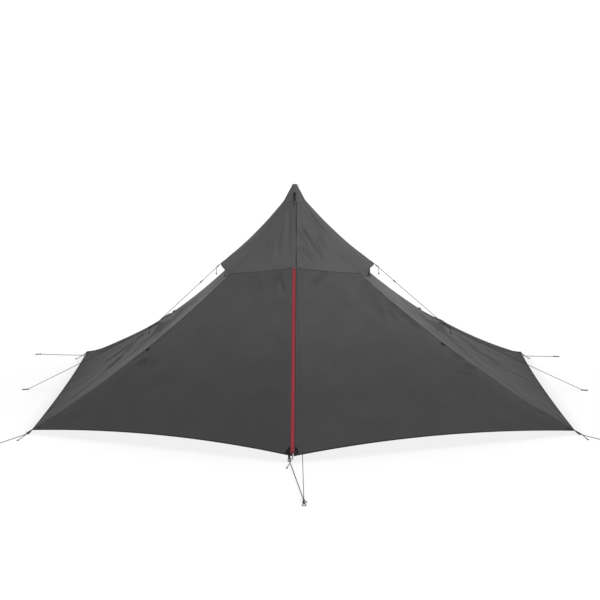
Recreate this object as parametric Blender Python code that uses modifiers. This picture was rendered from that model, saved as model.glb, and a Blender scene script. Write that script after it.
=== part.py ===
"""A six-sided fly shelter on one telescopic pole, with hooded vents and two zipped doors.

Metres, +Z up. The origin is the middle of the pole's foot, on the ground. The doors face -Y and +Y,
and the hoods face -X and +X. Left is -X, right is +X, front is -Y.
"""
import math

import bmesh
import bpy
from mathutils import Matrix, Vector

# The canopy
PEAK_HEIGHT = 1.63
CORNER_REACH = 1.905          # sideways, from the middle of the base to a corner
CORNER_DEPTH = 1.14           # front to back, from the pole to a corner
DOOR_REACH = 1.75             # from the pole to the foot of a door's zip
BASE_SHIFT = 0.068            # the base is pegged out this far to the right of the pole
ZIP_FOOT_HEIGHT = 0.030       # of the hem over the ground, at a zip
FRONT_CORNER_HEIGHT = 0.018
REAR_CORNER_HEIGHT = 0.038
DOOR_HEM_BOW = 0.06           # how far each hem is cut in from a straight line
SIDE_HEM_BOW = 0.035
SIDE_HEM_LIFT = 0.02
FRONT_RIDGE_SAG = 0.065       # the lower ridges are cut hollow by this much
REAR_RIDGE_SAG = 0.115
TOP_SAG = 0.028               # the same, above the seam
CLOTH = 0.0012                # thickness of a panel's solid
SEAM_GAP = 0.0007             # from a panel's edge to the seam's line
RUNNING_GAP = 0.0003          # between pieces that touch
FOLD_GAP = 0.00042            # from a door's fold to the cloth on each side of it

# Peak cap
CAP_TOP_RADIUS = 0.020
CAP_RADIUS = 0.080
CAP_HEIGHT = 0.125
CAP_RIM_HEIGHT = PEAK_HEIGHT - CAP_HEIGHT    # the cloth starts here, under the cap's rim
CAP_WALL = 0.0015
CAP_TOP_WALL = 0.012
CAP_BOSS_RADIUS = 0.011
CAP_BOSS_DEPTH = 0.020
CAP_SOCKET_DEPTH = 0.004      # how far the boss's bore goes on into the cap's top
CAP_LAP = 0.0024              # thickness of the cap's rim

# Seam between the top panels and the lower panels
SEAM_RADIUS = 0.565           # from the pole to the seam, along a ridge
SEAM_HEIGHT = 0.985
ZIP_TOP_REACH = 0.50          # from the pole to the top of a zip
ZIP_TOP_HEIGHT = 1.064
SEAM_FULLNESS = 0.25          # how far the seam stays square to the zip before it turns in

# Hoods and vents
HOOD_REACH = 0.592
HOOD_HEIGHT = 1.015
SILL_REACH = 0.565
SILL_HEIGHT = 0.925
SILL_DROP = 0.020             # the sill starts this far below the seam, on the ridge
NET = 0.0010                  # thickness of the vent net's solid
NET_INSET = 0.050             # from the hood's lip to the net, along the hood
NET_END = 0.030               # from the net's end to the ridge, along the lip

# Side tie-outs
TIE_REACH = 1.097             # to the point that a tie-out draws the side panel to
TIE_HEIGHT = 0.540
TIE_SPREAD = 0.42             # radius of the cloth that it draws with it
TIE_STEPS = 400
NORMAL_STEP = 0.002           # share of a surface over which its normal is taken

# Rows and columns of each panel
TOP_ROWS, TOP_COLUMNS = 8, 18
HOOD_ROWS, HOOD_COLUMNS = 9, 14
SIDE_ROWS_OVER_TIE, SIDE_ROWS_UNDER_TIE, SIDE_COLUMNS = 6, 8, 14
NET_ROWS, NET_COLUMNS = 2, 12
SURROUND_ROWS, SURROUND_COLUMNS = 16, 6
DOOR_COLUMNS = 14

# Doors
HINGE_FOOT = 0.10             # along the hem, from a corner to the fold of a door
DOOR_TOP_WIDTH = 0.026
ZIP_MIDDLE = 0.0062           # the closed chain and its margin, up to the right door's edge
ZIP_HALF_WIDTH = 0.0135
TAPE = 0.0008
CHAIN_HALF_WIDTH = 0.003
CHAIN_HEIGHT = 0.0016
CHAIN_TOP_SHARE = 0.7         # of the chain's width, at its top
ZIP_END_GAP = 0.018           # bare door above and below the zip
SLIDER_LENGTH = 0.012
SLIDER_WALL = 0.0012
SLIDER_FOOT = 0.022           # from the zip's foot to the closed slider's lower end
SLIDER_CLEAR = 0.0004         # from the chain's side to the slider's inner wall
SLIDER_CHAMFER = 0.0006
SLIDER_LUG_LENGTH = 0.0044
PIN_STEPS = 12
PULL_LENGTH = 0.060
PULL_HALF_THICKNESS = 0.0014
PULL_WIDTH = 0.006
PULL_PIN_RADIUS = 0.0007
PULL_PIN_GAP = 0.0002
PULL_FORK = 0.0024            # width of the pull's slot, over the slider's lug
PULL_FORK_DEPTH = 0.0042
PULL_SHOULDER = 0.012         # from the pin to where the pull starts to narrow
PULL_TAPER = 0.001
PULL_TIP_CHAMFER = 0.001
PULL_HOLE_RADIUS = 0.001
PULL_HOLE_MARGIN = 0.005      # from the pull's tip to the middle of its hole

# Guy lines
CORD_RADIUS = 0.0012
CORD_SAG = 0.004
GROUND_GAP = 0.0002           # under a line that lies on the ground
CORD_POINTS = 5
KNOT_HEIGHT = 0.0042          # of the knot that closes a line's eye, over the ground
EYE_RADIUS = 0.012            # of the round end that goes over a peg
EYE_REACH = 0.032             # from the knot to the middle of that round end
EYE_POINTS = 8
EYE_END = 0.006               # from the knot to the end of the cord that comes back to it
SIDE_STAKE_REACH = 2.19
DOOR_STAKE_REACH = 2.50
DOOR_STAKE_X = 0.076
STAKE_SPACING = 0.048         # from the near line's knot to the far one's, at a door's stake
FRONT_LEFT_LEAD = (0.23, 0.35)     # from a corner to its stake, sideways and outwards
FRONT_RIGHT_LEAD = (0.29, 0.30)
REAR_LEFT_LEAD = (0.42, 0.04)
REAR_RIGHT_LEAD = (0.29, -0.02)

# Line locks
LOCK_WIDTH = 0.024
LOCK_LENGTH = 0.026
LOCK_THICKNESS = 0.0035
LOCK_BAR = 0.0045
LOCK_CHAMFER = 0.004
STRAP_WIDTH = 0.015
CORNER_STRAP = 0.022
TIE_STRAP = 0.046
TIE_LINE_PLACE = 0.036        # from the cloth to the hood line's end, along the tie-out
HOOD_STRAP = 0.016
PEAK_STRAP = 0.020
DOOR_STRAP = 0.016
DOOR_LOCK_X = 0.024
SLOPE_PASSES = 4              # the slope and the lock's thickness settle in this many passes
SLIDE_LOCK_SIZE = (0.026, 0.012, 0.008)
SLIDE_LOCK_PLACE = 0.17       # from the hood's lock, down its line
SLIDE_LOCK_BORE = 0.0017
SLIDE_LOCK_EDGE = 0.0015

# Toggles that hold a rolled door on its ridge
TOGGLE_PLACE = 0.72           # along the ground, from the seam to the toggle
TOGGLE_SHARES = {-1: 0.08, 1: 0.25}    # of the fixed cloth's width, from the ridge, front and rear
TOGGLE_LENGTH = 0.032
TOGGLE_RADIUS = 0.004
TOGGLE_WAIST = 0.0026
TOGGLE_NECK = 0.0028          # radius of the toggle's flat ends
TOGGLE_GAP = 0.0009           # from the cloth's face
TOGGLE_STEPS = 12

# Pole
UPPER_RADIUS = 0.0110
LOWER_RADIUS = 0.0095
TUBE_WALL = 0.0012
UPPER_FOOT = 0.82
LOWER_TOP = 1.05
FOOT_RADIUS = 0.016
FOOT_HEIGHT = 0.034
FOOT_FLOOR = 0.010
TIP_RADIUS = 0.0050
TIP_PLUG = 0.025
TIP_TOP_RADIUS = 0.0040
EDGE = 0.001                  # chamfer on the pole's tubes, foot and clamp
FOOT_WAIST_RADIUS = 0.0144
FOOT_TOP_RADIUS = 0.0136
FOOT_WAIST_SHARE, FOOT_BULGE_SHARE = 0.6, 0.25     # heights of its waist and of its widest place
CLAMP_WALL = 0.0045
CLAMP_HEIGHT = 0.032
CLAMP_LIP = 0.006
EAR_REACH = 0.0235            # from the pole's axis to the lever's pin
EAR_THICKNESS = 0.005
EAR_RADIUS = 0.0045
EAR_ROOT = 0.002              # how far the ears reach into the collar
LEVER_PIN_RADIUS = 0.0018
LEVER_PIN_GAP = 0.0002
LEVER_HUB_WALL = 0.0020
LEVER_CLEAR = 0.0008          # from the collar to the lever
LEVER_THICKNESS = 0.0032
LEVER_SWEEP = math.radians(150)
LEVER_STEPS = 14
HUB_STEPS = 8
HUB_START, HUB_TURN = math.radians(-150), math.radians(210)

ROUND_STEPS = 24
ROD_STEPS = 16

LEFT, RIGHT = -1, 1
FRONT, REAR = -1, 1
SIDE_NAMES = {LEFT: "left", RIGHT: "right"}
END_NAMES = {FRONT: "front", REAR: "rear"}
UP = Vector((0, 0, 1))

CLOTH_GREY = ((0.070, 0.070, 0.073), 0.62, 0.0)
HOOD_GREY = ((0.105, 0.105, 0.108), 0.60, 0.0)
NET_BLACK = ((0.020, 0.020, 0.021), 0.80, 0.0)
CAP_GREY = ((0.110, 0.110, 0.112), 0.70, 0.0)
ZIP_RED = ((0.300, 0.035, 0.045), 0.55, 0.0)
TRIM_BLACK = ((0.012, 0.012, 0.013), 0.45, 0.0)
CORD_GREY = ((0.045, 0.045, 0.048), 0.70, 0.0)
POLE_SILVER = ((0.60, 0.61, 0.62), 0.32, 1.0)
RUBBER_BLACK = ((0.018, 0.018, 0.018), 0.85, 0.0)


# Scene and materials

def empty_scene():
    for old in list(bpy.data.objects):
        bpy.data.objects.remove(old)


def new_collection(name):
    collection = bpy.data.collections.new(name)
    bpy.context.scene.collection.children.link(collection)
    return collection


def finish(name, look):
    colour, roughness, metallic = look
    material = bpy.data.materials.new(name)
    material.use_nodes = True
    shader = material.node_tree.nodes["Principled BSDF"]
    shader.inputs["Base Color"].default_value = (*colour, 1)
    shader.inputs["Roughness"].default_value = roughness
    shader.inputs["Metallic"].default_value = metallic
    material.diffuse_color = (*colour, 1)
    return material


def add_piece(name, data, look, place=None):
    piece = bpy.data.objects.new(name, data)
    PARTS.objects.link(piece)
    data.materials.append(finish(name, look))
    if place is not None:
        piece.matrix_world = place
    return piece


def add_cutter(name, data, place):
    cutter = bpy.data.objects.new(name, data)
    CUTTERS.objects.link(cutter)
    cutter.matrix_world = place
    cutter.hide_render = True
    cutter.display_type = "WIRE"
    return cutter


def carry(carrier_name, place, pieces):
    """Hang pieces on an empty that stands on their joint's axis, without moving them."""
    carrier = bpy.data.objects.new(carrier_name, None)
    carrier.location = place
    PARTS.objects.link(carrier)
    for piece in pieces:
        piece.parent = carrier
        piece.matrix_parent_inverse = Matrix.Translation(place).inverted()
    return carrier


def place_at(origin, along, facing):
    """A frame at origin with its X along a direction and its Z as near to facing as it can be."""
    x_axis = along.normalized()
    y_axis = facing.cross(x_axis).normalized()
    z_axis = x_axis.cross(y_axis)
    turn = Matrix((x_axis, y_axis, z_axis)).transposed()
    return Matrix.Translation(origin) @ turn.to_4x4()


# Shapes

def flat_piece(name, outlines, thickness, place, look):
    """A flat outline, with holes where it has more than one, centred on its thickness."""
    outline_curve = bpy.data.curves.new(name, "CURVE")
    outline_curve.dimensions = "2D"
    outline_curve.fill_mode = "BOTH"
    outline_curve.extrude = thickness / 2
    for outline in outlines:
        spline = outline_curve.splines.new("POLY")
        spline.points.add(len(outline) - 1)
        spline.use_cyclic_u = True
        for point, (x, y) in zip(spline.points, outline):
            point.co = (x, y, 0, 1)
    return add_piece(name, outline_curve, look, place)


def as_mesh(piece):
    """Turn a curve piece into a mesh with its caps joined, so that it can be cut."""
    depsgraph = bpy.context.evaluated_depsgraph_get()
    mesh = bpy.data.meshes.new_from_object(piece.evaluated_get(depsgraph))
    working = bmesh.new()
    working.from_mesh(mesh)
    bmesh.ops.remove_doubles(working, verts=working.verts, dist=0.00001)
    working.to_mesh(mesh)
    working.free()
    name, place = piece.name, piece.matrix_world.copy()
    look = piece.data.materials[0]
    bpy.data.objects.remove(piece)
    solid = bpy.data.objects.new(name, mesh)
    PARTS.objects.link(solid)
    solid.matrix_world = place
    mesh.materials.clear()
    mesh.materials.append(look)
    return solid


def turned_piece(name, profile, look, place=None):
    """A profile of (radius, height), down its outer side from the axis or round a wall, turned about Z."""
    closed = profile[0][0] > 0
    mesh = bpy.data.meshes.new(name)
    edges = [(i, i + 1) for i in range(len(profile) - 1)]
    if closed:
        edges.append((len(profile) - 1, 0))
    mesh.from_pydata([(radius, 0, height) for radius, height in profile], edges, [])
    piece = add_piece(name, mesh, look, place)
    screw = piece.modifiers.new("Turn", "SCREW")
    screw.steps = ROUND_STEPS
    screw.render_steps = ROUND_STEPS
    screw.use_merge_vertices = True
    screw.merge_threshold = 0.00002
    return piece


def tube_piece(name, points, radius, look):
    """A cord through its points, with closed ends."""
    route = bpy.data.curves.new(name, "CURVE")
    route.dimensions = "3D"
    route.bevel_depth = radius
    route.bevel_resolution = 2
    route.use_fill_caps = True
    spline = route.splines.new("POLY")
    spline.points.add(len(points) - 1)
    for point, place in zip(spline.points, points):
        point.co = (*place, 1)
    return add_piece(name, route, look)


def rod_mesh(name, radius, length, steps=ROD_STEPS):
    """A closed rod about its own Z axis, centred on its length."""
    mesh = bpy.data.meshes.new(name)
    working = bmesh.new()
    bmesh.ops.create_cone(working, cap_ends=True, segments=steps, radius1=radius, radius2=radius,
                          depth=length)
    working.to_mesh(mesh)
    working.free()
    return mesh


def cut(piece, cutter, operation="DIFFERENCE"):
    boolean = piece.modifiers.new("Cut", "BOOLEAN")
    boolean.object = cutter
    boolean.operation = operation
    boolean.solver = "EXACT"


def sheet_piece(name, rows, thickness, look, outward, origin=None):
    """A panel of cloth through rows of points, thickened evenly about them."""
    origin = origin or Vector((0, 0, 0))
    columns = len(rows[0])
    mesh = bpy.data.meshes.new(name)
    points = [point - origin for row in rows for point in row]
    faces = []
    for row in range(len(rows) - 1):
        for column in range(columns - 1):
            corner = row * columns + column
            faces.append((corner, corner + 1, corner + columns + 1, corner + columns))
    mesh.from_pydata(points, [], faces)
    facing = sum((face.normal * face.area for face in mesh.polygons), Vector())
    if facing.dot(outward) < 0:
        mesh.flip_normals()
    mesh.shade_smooth()
    piece = add_piece(name, mesh, look)
    piece.location = origin
    wall = piece.modifiers.new("Cloth", "SOLIDIFY")
    wall.thickness = thickness
    wall.offset = 0
    return piece


# Lines that the panels share

def base_x(side, reach):
    """Sideways place of something at a reach from the pole, with the base's shift in proportion."""
    return side * reach + BASE_SHIFT * reach / CORNER_REACH


def corner(side, end):
    height = FRONT_CORNER_HEIGHT if end == FRONT else REAR_CORNER_HEIGHT
    return Vector((base_x(side, CORNER_REACH), end * CORNER_DEPTH, height))


def towards(side, end):
    """Level unit vector from the pole to a corner."""
    return Vector((*corner(side, end).xy, 0)).normalized()


def ring_point(side, end):
    return towards(side, end) * CAP_RADIUS + UP * CAP_RIM_HEIGHT


def seam_point(side, end):
    return towards(side, end) * SEAM_RADIUS + UP * SEAM_HEIGHT


def top_ridge(side, end, t):
    straight = ring_point(side, end).lerp(seam_point(side, end), t)
    return straight - UP * TOP_SAG * 4 * t * (1 - t)


def lower_ridge(side, end, t):
    straight = seam_point(side, end).lerp(corner(side, end), t)
    sag = FRONT_RIDGE_SAG if end == FRONT else REAR_RIDGE_SAG
    return straight - UP * sag * 4 * t * (1 - t)


def ring_arc(start, finish_point, t):
    """Round the cap's rim, from one point on it to another."""
    start_angle = math.atan2(start.y, start.x)
    turn = math.atan2(finish_point.y, finish_point.x) - start_angle
    turn = (turn + math.pi) % (2 * math.pi) - math.pi
    angle = start_angle + turn * t
    return Vector((math.cos(angle), math.sin(angle), 0)) * CAP_RADIUS + UP * CAP_RIM_HEIGHT


def bend(start, control, finish_point, t):
    return start * (1 - t) ** 2 + control * 2 * t * (1 - t) + finish_point * t ** 2


def bend_through(start, middle, finish_point, t):
    control = middle * 2 - (start + finish_point) / 2
    return bend(start, control, finish_point, t)


def zip_top(end):
    return Vector((0, end * ZIP_TOP_REACH, ZIP_TOP_HEIGHT))


def zip_foot(end):
    return Vector((0, end * DOOR_REACH, ZIP_FOOT_HEIGHT))


def zip_line(end):
    """Unit vector down a zip."""
    return (zip_foot(end) - zip_top(end)).normalized()


def door_normal(side, end):
    across = corner(side, end) - zip_foot(end)
    up_zip = zip_top(end) - zip_foot(end)
    normal = across.cross(up_zip).normalized()
    return normal if normal.z > 0 else -normal


def door_across(side, end):
    """Unit vector in a door's plane, square to its zip and pointing away from it."""
    across = zip_line(end).cross(door_normal(side, end))
    return across if across.x * side > 0 else -across


def door_seam(side, end, t):
    """The seam over a door, from the top of the zip to the ridge."""
    control = zip_top(end) + door_across(side, end) * SEAM_FULLNESS
    return bend(zip_top(end), control, seam_point(side, end), t)


def door_hem(side, end, t):
    """A door's hem, from the corner to the zip's foot."""
    straight = corner(side, end).lerp(zip_foot(end), t)
    along = (zip_foot(end) - corner(side, end)).normalized()
    inward = door_normal(side, end).cross(along)
    if inward.z < 0:
        inward = -inward
    return straight + inward * DOOR_HEM_BOW * 4 * t * (1 - t)


def side_hem(side, t):
    """A side's hem, from the front corner to the rear one."""
    straight = corner(side, FRONT).lerp(corner(side, REAR), t)
    hollow = 4 * t * (1 - t)
    return straight + Vector((-side * SIDE_HEM_BOW, 0, SIDE_HEM_LIFT)) * hollow


def hinge_foot(side, end):
    length = (zip_foot(end) - corner(side, end)).length
    return door_hem(side, end, HINGE_FOOT / length)


def hinge_top(side, end):
    return zip_top(end) + door_across(side, end) * DOOR_TOP_WIDTH


def hinge_axis(side, end):
    """A point on a door's fold, on the cloth's outer face, and the fold's direction.

    A positive turn about the direction opens the door outwards.
    """
    lift = door_normal(side, end) * (CLOTH / 2)
    top, foot = hinge_top(side, end) + lift, hinge_foot(side, end) + lift
    along = (foot - top).normalized()
    opening = along.cross(zip_foot(end) - top)
    if opening.dot(door_normal(side, end)) < 0:
        along = -along
    return top.lerp(foot, 0.5), along


# Patches of cloth

def spread(count, length, near, far):
    """Shares of a length for count + 1 lines, kept near and far from its two ends."""
    first, last = near / length, 1 - far / length
    return [first + (last - first) * step / count for step in range(count + 1)]


def patch(top, foot, near_side, far_side):
    """A point function (down, across) on the surface that four joined edges bound."""
    corners = [top(0), top(1), foot(0), foot(1)]

    def point(down, across):
        rails = top(across) * (1 - down) + foot(across) * down
        sides = near_side(down) * (1 - across) + far_side(down) * across
        flat = corners[0] * (1 - down) * (1 - across) + corners[1] * (1 - down) * across
        flat += corners[2] * down * (1 - across) + corners[3] * down * across
        return rails + sides - flat
    return point


def grid(point, downs, acrosses, top=0.0, foot=0.0, near=0.0, far=0.0):
    """Rows of points on a surface, kept these distances in from its four edges."""
    fall = (point(1, 0.5) - point(0, 0.5)).length
    return rows_at(point, spread(downs, fall, top, foot), acrosses, near, far)


def rows_at(point, shares, acrosses, near, far):
    rows = []
    for down in shares:
        width = (point(down, 1) - point(down, 0)).length
        rows.append([point(down, across) for across in spread(acrosses, width, near, far)])
    return rows


def normal_of(point, down, across, outward):
    along_down = point(down + NORMAL_STEP, across) - point(down - NORMAL_STEP, across)
    along_across = point(down, across + NORMAL_STEP) - point(down, across - NORMAL_STEP)
    normal = along_down.cross(along_across).normalized()
    return normal if normal.dot(outward) > 0 else -normal


def front_top_surface(end):
    def foot(across):
        if across <= 0.5:
            return door_seam(LEFT, end, 1 - 2 * across)
        return door_seam(RIGHT, end, 2 * across - 1)
    return patch(lambda t: ring_arc(ring_point(LEFT, end), ring_point(RIGHT, end), t), foot,
                 lambda t: top_ridge(LEFT, end, t), lambda t: top_ridge(RIGHT, end, t))


def hood_surface(side):
    tip = Vector((base_x(side, HOOD_REACH), 0, HOOD_HEIGHT))
    return patch(lambda t: ring_arc(ring_point(side, FRONT), ring_point(side, REAR), t),
                 lambda t: bend_through(seam_point(side, FRONT), tip, seam_point(side, REAR), t),
                 lambda t: top_ridge(side, FRONT, t), lambda t: top_ridge(side, REAR, t))


def sill_start():
    """Share of a lower ridge at which the sill starts."""
    return SILL_DROP / (corner(LEFT, FRONT) - seam_point(LEFT, FRONT)).length


def plain_side_surface(side):
    """The side panel before its tie-out draws it out."""
    first = sill_start()
    middle = Vector((base_x(side, SILL_REACH), 0, SILL_HEIGHT))
    ends = [lower_ridge(side, end, first) for end in (FRONT, REAR)]
    return patch(lambda t: bend_through(ends[0], middle, ends[1], t),
                 lambda t: side_hem(side, t),
                 lambda t: lower_ridge(side, FRONT, first + (1 - first) * t),
                 lambda t: lower_ridge(side, REAR, first + (1 - first) * t))


def tie_point(side):
    return Vector((base_x(side, TIE_REACH), 0, TIE_HEIGHT))


def tie_share(side):
    """How far down the slack side panel the cloth is that its tie-out draws out."""
    plain = plain_side_surface(side)
    shares = [step / TIE_STEPS for step in range(TIE_STEPS + 1)]
    return min(shares, key=lambda down: (plain(down, 0.5) - tie_point(side)).length)


def side_surface(side):
    plain = plain_side_surface(side)
    centre = plain(tie_share(side), 0.5)
    pull = tie_point(side) - centre

    def point(down, across):
        place = plain(down, across)
        distance = (place - centre).length
        draw = max(0.0, 1 - distance / TIE_SPREAD) ** 2
        return place + pull * draw
    return point


def surround_surface(side, end):
    """The fixed cloth beside a door, from the ridge to the door's fold."""
    fold_top = hinge_top(side, end)
    share = DOOR_TOP_WIDTH / (2 * SEAM_FULLNESS)
    miss = fold_top - door_seam(side, end, share)

    def top(across):
        return door_seam(side, end, 1 + (share - 1) * across) + miss * across

    foot_share = HINGE_FOOT / (zip_foot(end) - corner(side, end)).length
    return patch(top, lambda t: door_hem(side, end, foot_share * t),
                 lambda t: lower_ridge(side, end, t),
                 lambda t: fold_top.lerp(hinge_foot(side, end), t))


# Canopy panels

def make_top_panels():
    for end in (FRONT, REAR):
        surface = front_top_surface(end)
        rows = grid(surface, TOP_ROWS, TOP_COLUMNS, foot=SEAM_GAP, near=SEAM_GAP, far=SEAM_GAP)
        sheet_piece(f"top_panel_{END_NAMES[end]}", rows, CLOTH, HOOD_GREY, Vector((0, end, 1)))


def make_hoods():
    for side in (LEFT, RIGHT):
        surface = hood_surface(side)
        rows = grid(surface, HOOD_ROWS, HOOD_COLUMNS, foot=SEAM_GAP, near=SEAM_GAP, far=SEAM_GAP)
        sheet_piece(f"hood_{SIDE_NAMES[side]}", rows, CLOTH, HOOD_GREY, Vector((side, 0, 1)))


def make_side_panels():
    for side in (LEFT, RIGHT):
        surface = side_surface(side)
        fall = (surface(1, 0.5) - surface(0, 0.5)).length
        tie_fall = fall * tie_share(side)
        shares = spread(SIDE_ROWS_OVER_TIE, fall, SEAM_GAP, fall - tie_fall)
        shares += spread(SIDE_ROWS_UNDER_TIE, fall, tie_fall, 0)[1:]
        rows = rows_at(surface, shares, SIDE_COLUMNS, SEAM_GAP, SEAM_GAP)
        sheet_piece(f"side_panel_{SIDE_NAMES[side]}", rows, CLOTH, CLOTH_GREY, Vector((side, 0, 1)))


def make_vent_nets():
    """Each net stands on the side panel's top edge and reaches the underside of its hood."""
    clear = CLOTH / 2 + NET / 2 + 2 * RUNNING_GAP
    for side in (LEFT, RIGHT):
        out = Vector((side, 0, 1))
        hood, panel = hood_surface(side), plain_side_surface(side)
        lip_length = (hood(1, 0.5) - hood(1, 0)).length * 2
        down = 1 - NET_INSET / (hood(1, 0.5) - hood(0, 0.5)).length
        shares = spread(NET_COLUMNS, lip_length, NET_END, NET_END)
        tops = [hood(down, share) - normal_of(hood, down, share, out) * clear for share in shares]
        feet = [panel(0, share) + UP * RUNNING_GAP for share in shares]
        rows = []
        for row in range(NET_ROWS + 1):
            rows.append([top.lerp(foot, row / NET_ROWS) for top, foot in zip(tops, feet)])
        sheet_piece(f"vent_net_{SIDE_NAMES[side]}", rows, NET, NET_BLACK, Vector((side, 0, 0)))


def make_surround(side, end):
    surface = surround_surface(side, end)
    rows = grid(surface, SURROUND_ROWS, SURROUND_COLUMNS, top=SEAM_GAP, near=SEAM_GAP, far=FOLD_GAP)
    name = f"door_surround_{END_NAMES[end]}_{SIDE_NAMES[side]}"
    return sheet_piece(name, rows, CLOTH, CLOTH_GREY, Vector((side * 0.3, end, 1)))


# Doors and zips

def zip_point(side, end, down, away):
    """A point in a door's plane, so far down its zip and away from it."""
    return zip_top(end) + zip_line(end) * down + door_across(side, end) * away


def make_door(side, end):
    """A flat triangle of cloth between the fold and the zip, with its hem cut hollow."""
    edge = ZIP_MIDDLE if side == RIGHT else SEAM_GAP
    edge_top = zip_point(side, end, SEAM_GAP, edge)
    fold_top, fold_foot = hinge_top(side, end), hinge_foot(side, end)
    inward = door_across(side, end) * -FOLD_GAP
    foot_length = (zip_foot(end) - corner(side, end)).length
    foot_share = HINGE_FOOT / foot_length
    zip_share = 1 - edge / foot_length
    top_row, foot_row = [], []
    for column in range(DOOR_COLUMNS + 1):
        t = column / DOOR_COLUMNS
        top_row.append((fold_top + inward + zip_line(end) * SEAM_GAP).lerp(edge_top, t))
        foot_row.append(door_hem(side, end, foot_share + (zip_share - foot_share) * t))
    foot_row[0] = fold_foot + inward
    foot_row[-1] = zip_point(side, end, zip_length(end), edge)
    rows = [top_row, foot_row]
    place, _ = hinge_axis(side, end)
    name = f"door_{END_NAMES[end]}_{SIDE_NAMES[side]}"
    return sheet_piece(name, rows, CLOTH, CLOTH_GREY, door_normal(side, end), origin=place)


def zip_out(end):
    """Unit vector straight out of the tent at a zip, square to it."""
    out = Vector((1, 0, 0)).cross(zip_line(end))
    return out if out.z > 0 else -out


def door_fall(side, end):
    """How far a door falls away from the zip's line, for each metre sideways."""
    across = door_across(side, end)
    return -across.dot(zip_out(end)) / abs(across.x)


def tape_height(end, x):
    """Height of a tape's underside over the zip's line, at a distance across."""
    steepest = max(door_fall(LEFT, end), door_fall(RIGHT, end))
    lift = (CLOTH / 2 + RUNNING_GAP) * math.sqrt(1 + steepest ** 2)
    return lift - abs(x) * door_fall(LEFT if x < 0 else RIGHT, end)


def zip_place(end, down):
    """A frame on a zip's line: X across it to the right, Y outwards, Z along the zip."""
    origin = zip_top(end) + zip_line(end) * down
    across = Vector((1, 0, 0))
    out = zip_out(end)
    turn = Matrix((across, out, across.cross(out))).transposed()
    return Matrix.Translation(origin) @ turn.to_4x4()


def zip_length(end):
    return (zip_foot(end) - zip_top(end)).length


def make_zip(end):
    """The left tape carries the closed chain, and the right tape stops beside it."""
    length = zip_length(end) - 2 * ZIP_END_GAP
    place = zip_place(end, zip_length(end) / 2)
    inner = ZIP_MIDDLE - 2 * RUNNING_GAP
    outer_edge = ZIP_HALF_WIDTH
    chain_top = tape_height(end, 0) + TAPE + CHAIN_HEIGHT
    shoulder = CHAIN_HALF_WIDTH * CHAIN_TOP_SHARE
    under = [(x, tape_height(end, x)) for x in (-outer_edge, 0, inner)]
    over = [(x, tape_height(end, x) + TAPE) for x in (inner, CHAIN_HALF_WIDTH)]
    over += [(shoulder, chain_top), (-shoulder, chain_top)]
    over += [(x, tape_height(end, x) + TAPE) for x in (-CHAIN_HALF_WIDTH, -outer_edge)]
    edge = ZIP_MIDDLE + RUNNING_GAP
    right = [(x, tape_height(end, x)) for x in (edge, outer_edge)]
    right += [(x, tape_height(end, x) + TAPE) for x in (outer_edge, edge)]
    name = END_NAMES[end]
    return (flat_piece(f"zip_chain_{name}", [under + over], length, place, ZIP_RED),
            flat_piece(f"zip_tape_{name}", [right], length, place, ZIP_RED))


def slider_down(end):
    """How far down the zip the closed slider's middle is."""
    return zip_length(end) - SLIDER_FOOT - SLIDER_LENGTH / 2


def pull_pin_height(end):
    """High enough for the pull's square corners to turn clear of the slider."""
    top = tape_height(end, 0) + TAPE + CHAIN_HEIGHT + RUNNING_GAP + SLIDER_WALL
    return top + PULL_HALF_THICKNESS * math.sqrt(2) + RUNNING_GAP


def make_slider(end):
    """A bridge over the chain, with a lug that carries the pull's pin."""
    name = f"zip_slider_{END_NAMES[end]}"
    half = ZIP_MIDDLE - 3 * RUNNING_GAP
    chain_top = tape_height(end, 0) + TAPE + CHAIN_HEIGHT + RUNNING_GAP
    inner = CHAIN_HALF_WIDTH + SLIDER_CLEAR
    sill = max(tape_height(end, inner), tape_height(end, -inner)) + TAPE + RUNNING_GAP
    top = chain_top + SLIDER_WALL
    arch = [(-half, sill), (-inner, sill), (-inner, chain_top), (inner, chain_top), (inner, sill),
            (half, sill), (half, top - SLIDER_CHAMFER), (half - 2 * SLIDER_CHAMFER, top),
            (-half + 2 * SLIDER_CHAMFER, top), (-half, top - SLIDER_CHAMFER)]
    place = zip_place(end, slider_down(end))
    body = as_mesh(flat_piece(name, [arch], SLIDER_LENGTH, place, TRIM_BLACK))
    pin_height = pull_pin_height(end)
    lug_width = PULL_FORK - 2 * RUNNING_GAP
    lug = bpy.data.meshes.new("slider_lug")
    working = bmesh.new()
    bmesh.ops.create_cube(working, size=1)
    lug_root = top - SLIDER_WALL / 2
    lug_height = pin_height + PULL_PIN_RADIUS * 2 - lug_root
    bmesh.ops.scale(working, verts=working.verts, vec=(lug_width, lug_height, SLIDER_LUG_LENGTH))
    working.to_mesh(lug)
    working.free()
    lift = Matrix.Translation((0, lug_root + lug_height / 2, 0))
    cut(body, add_cutter(f"lug_{END_NAMES[end]}", lug, place @ lift), "UNION")
    pin = rod_mesh("slider_pin", PULL_PIN_RADIUS, PULL_WIDTH - 2 * PULL_PIN_GAP, PIN_STEPS)
    across = Matrix.Translation((0, pin_height, 0)) @ Matrix.Rotation(math.pi / 2, 4, "Y")
    cut(body, add_cutter(f"pin_{END_NAMES[end]}", pin, place @ across), "UNION")
    return body


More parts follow.
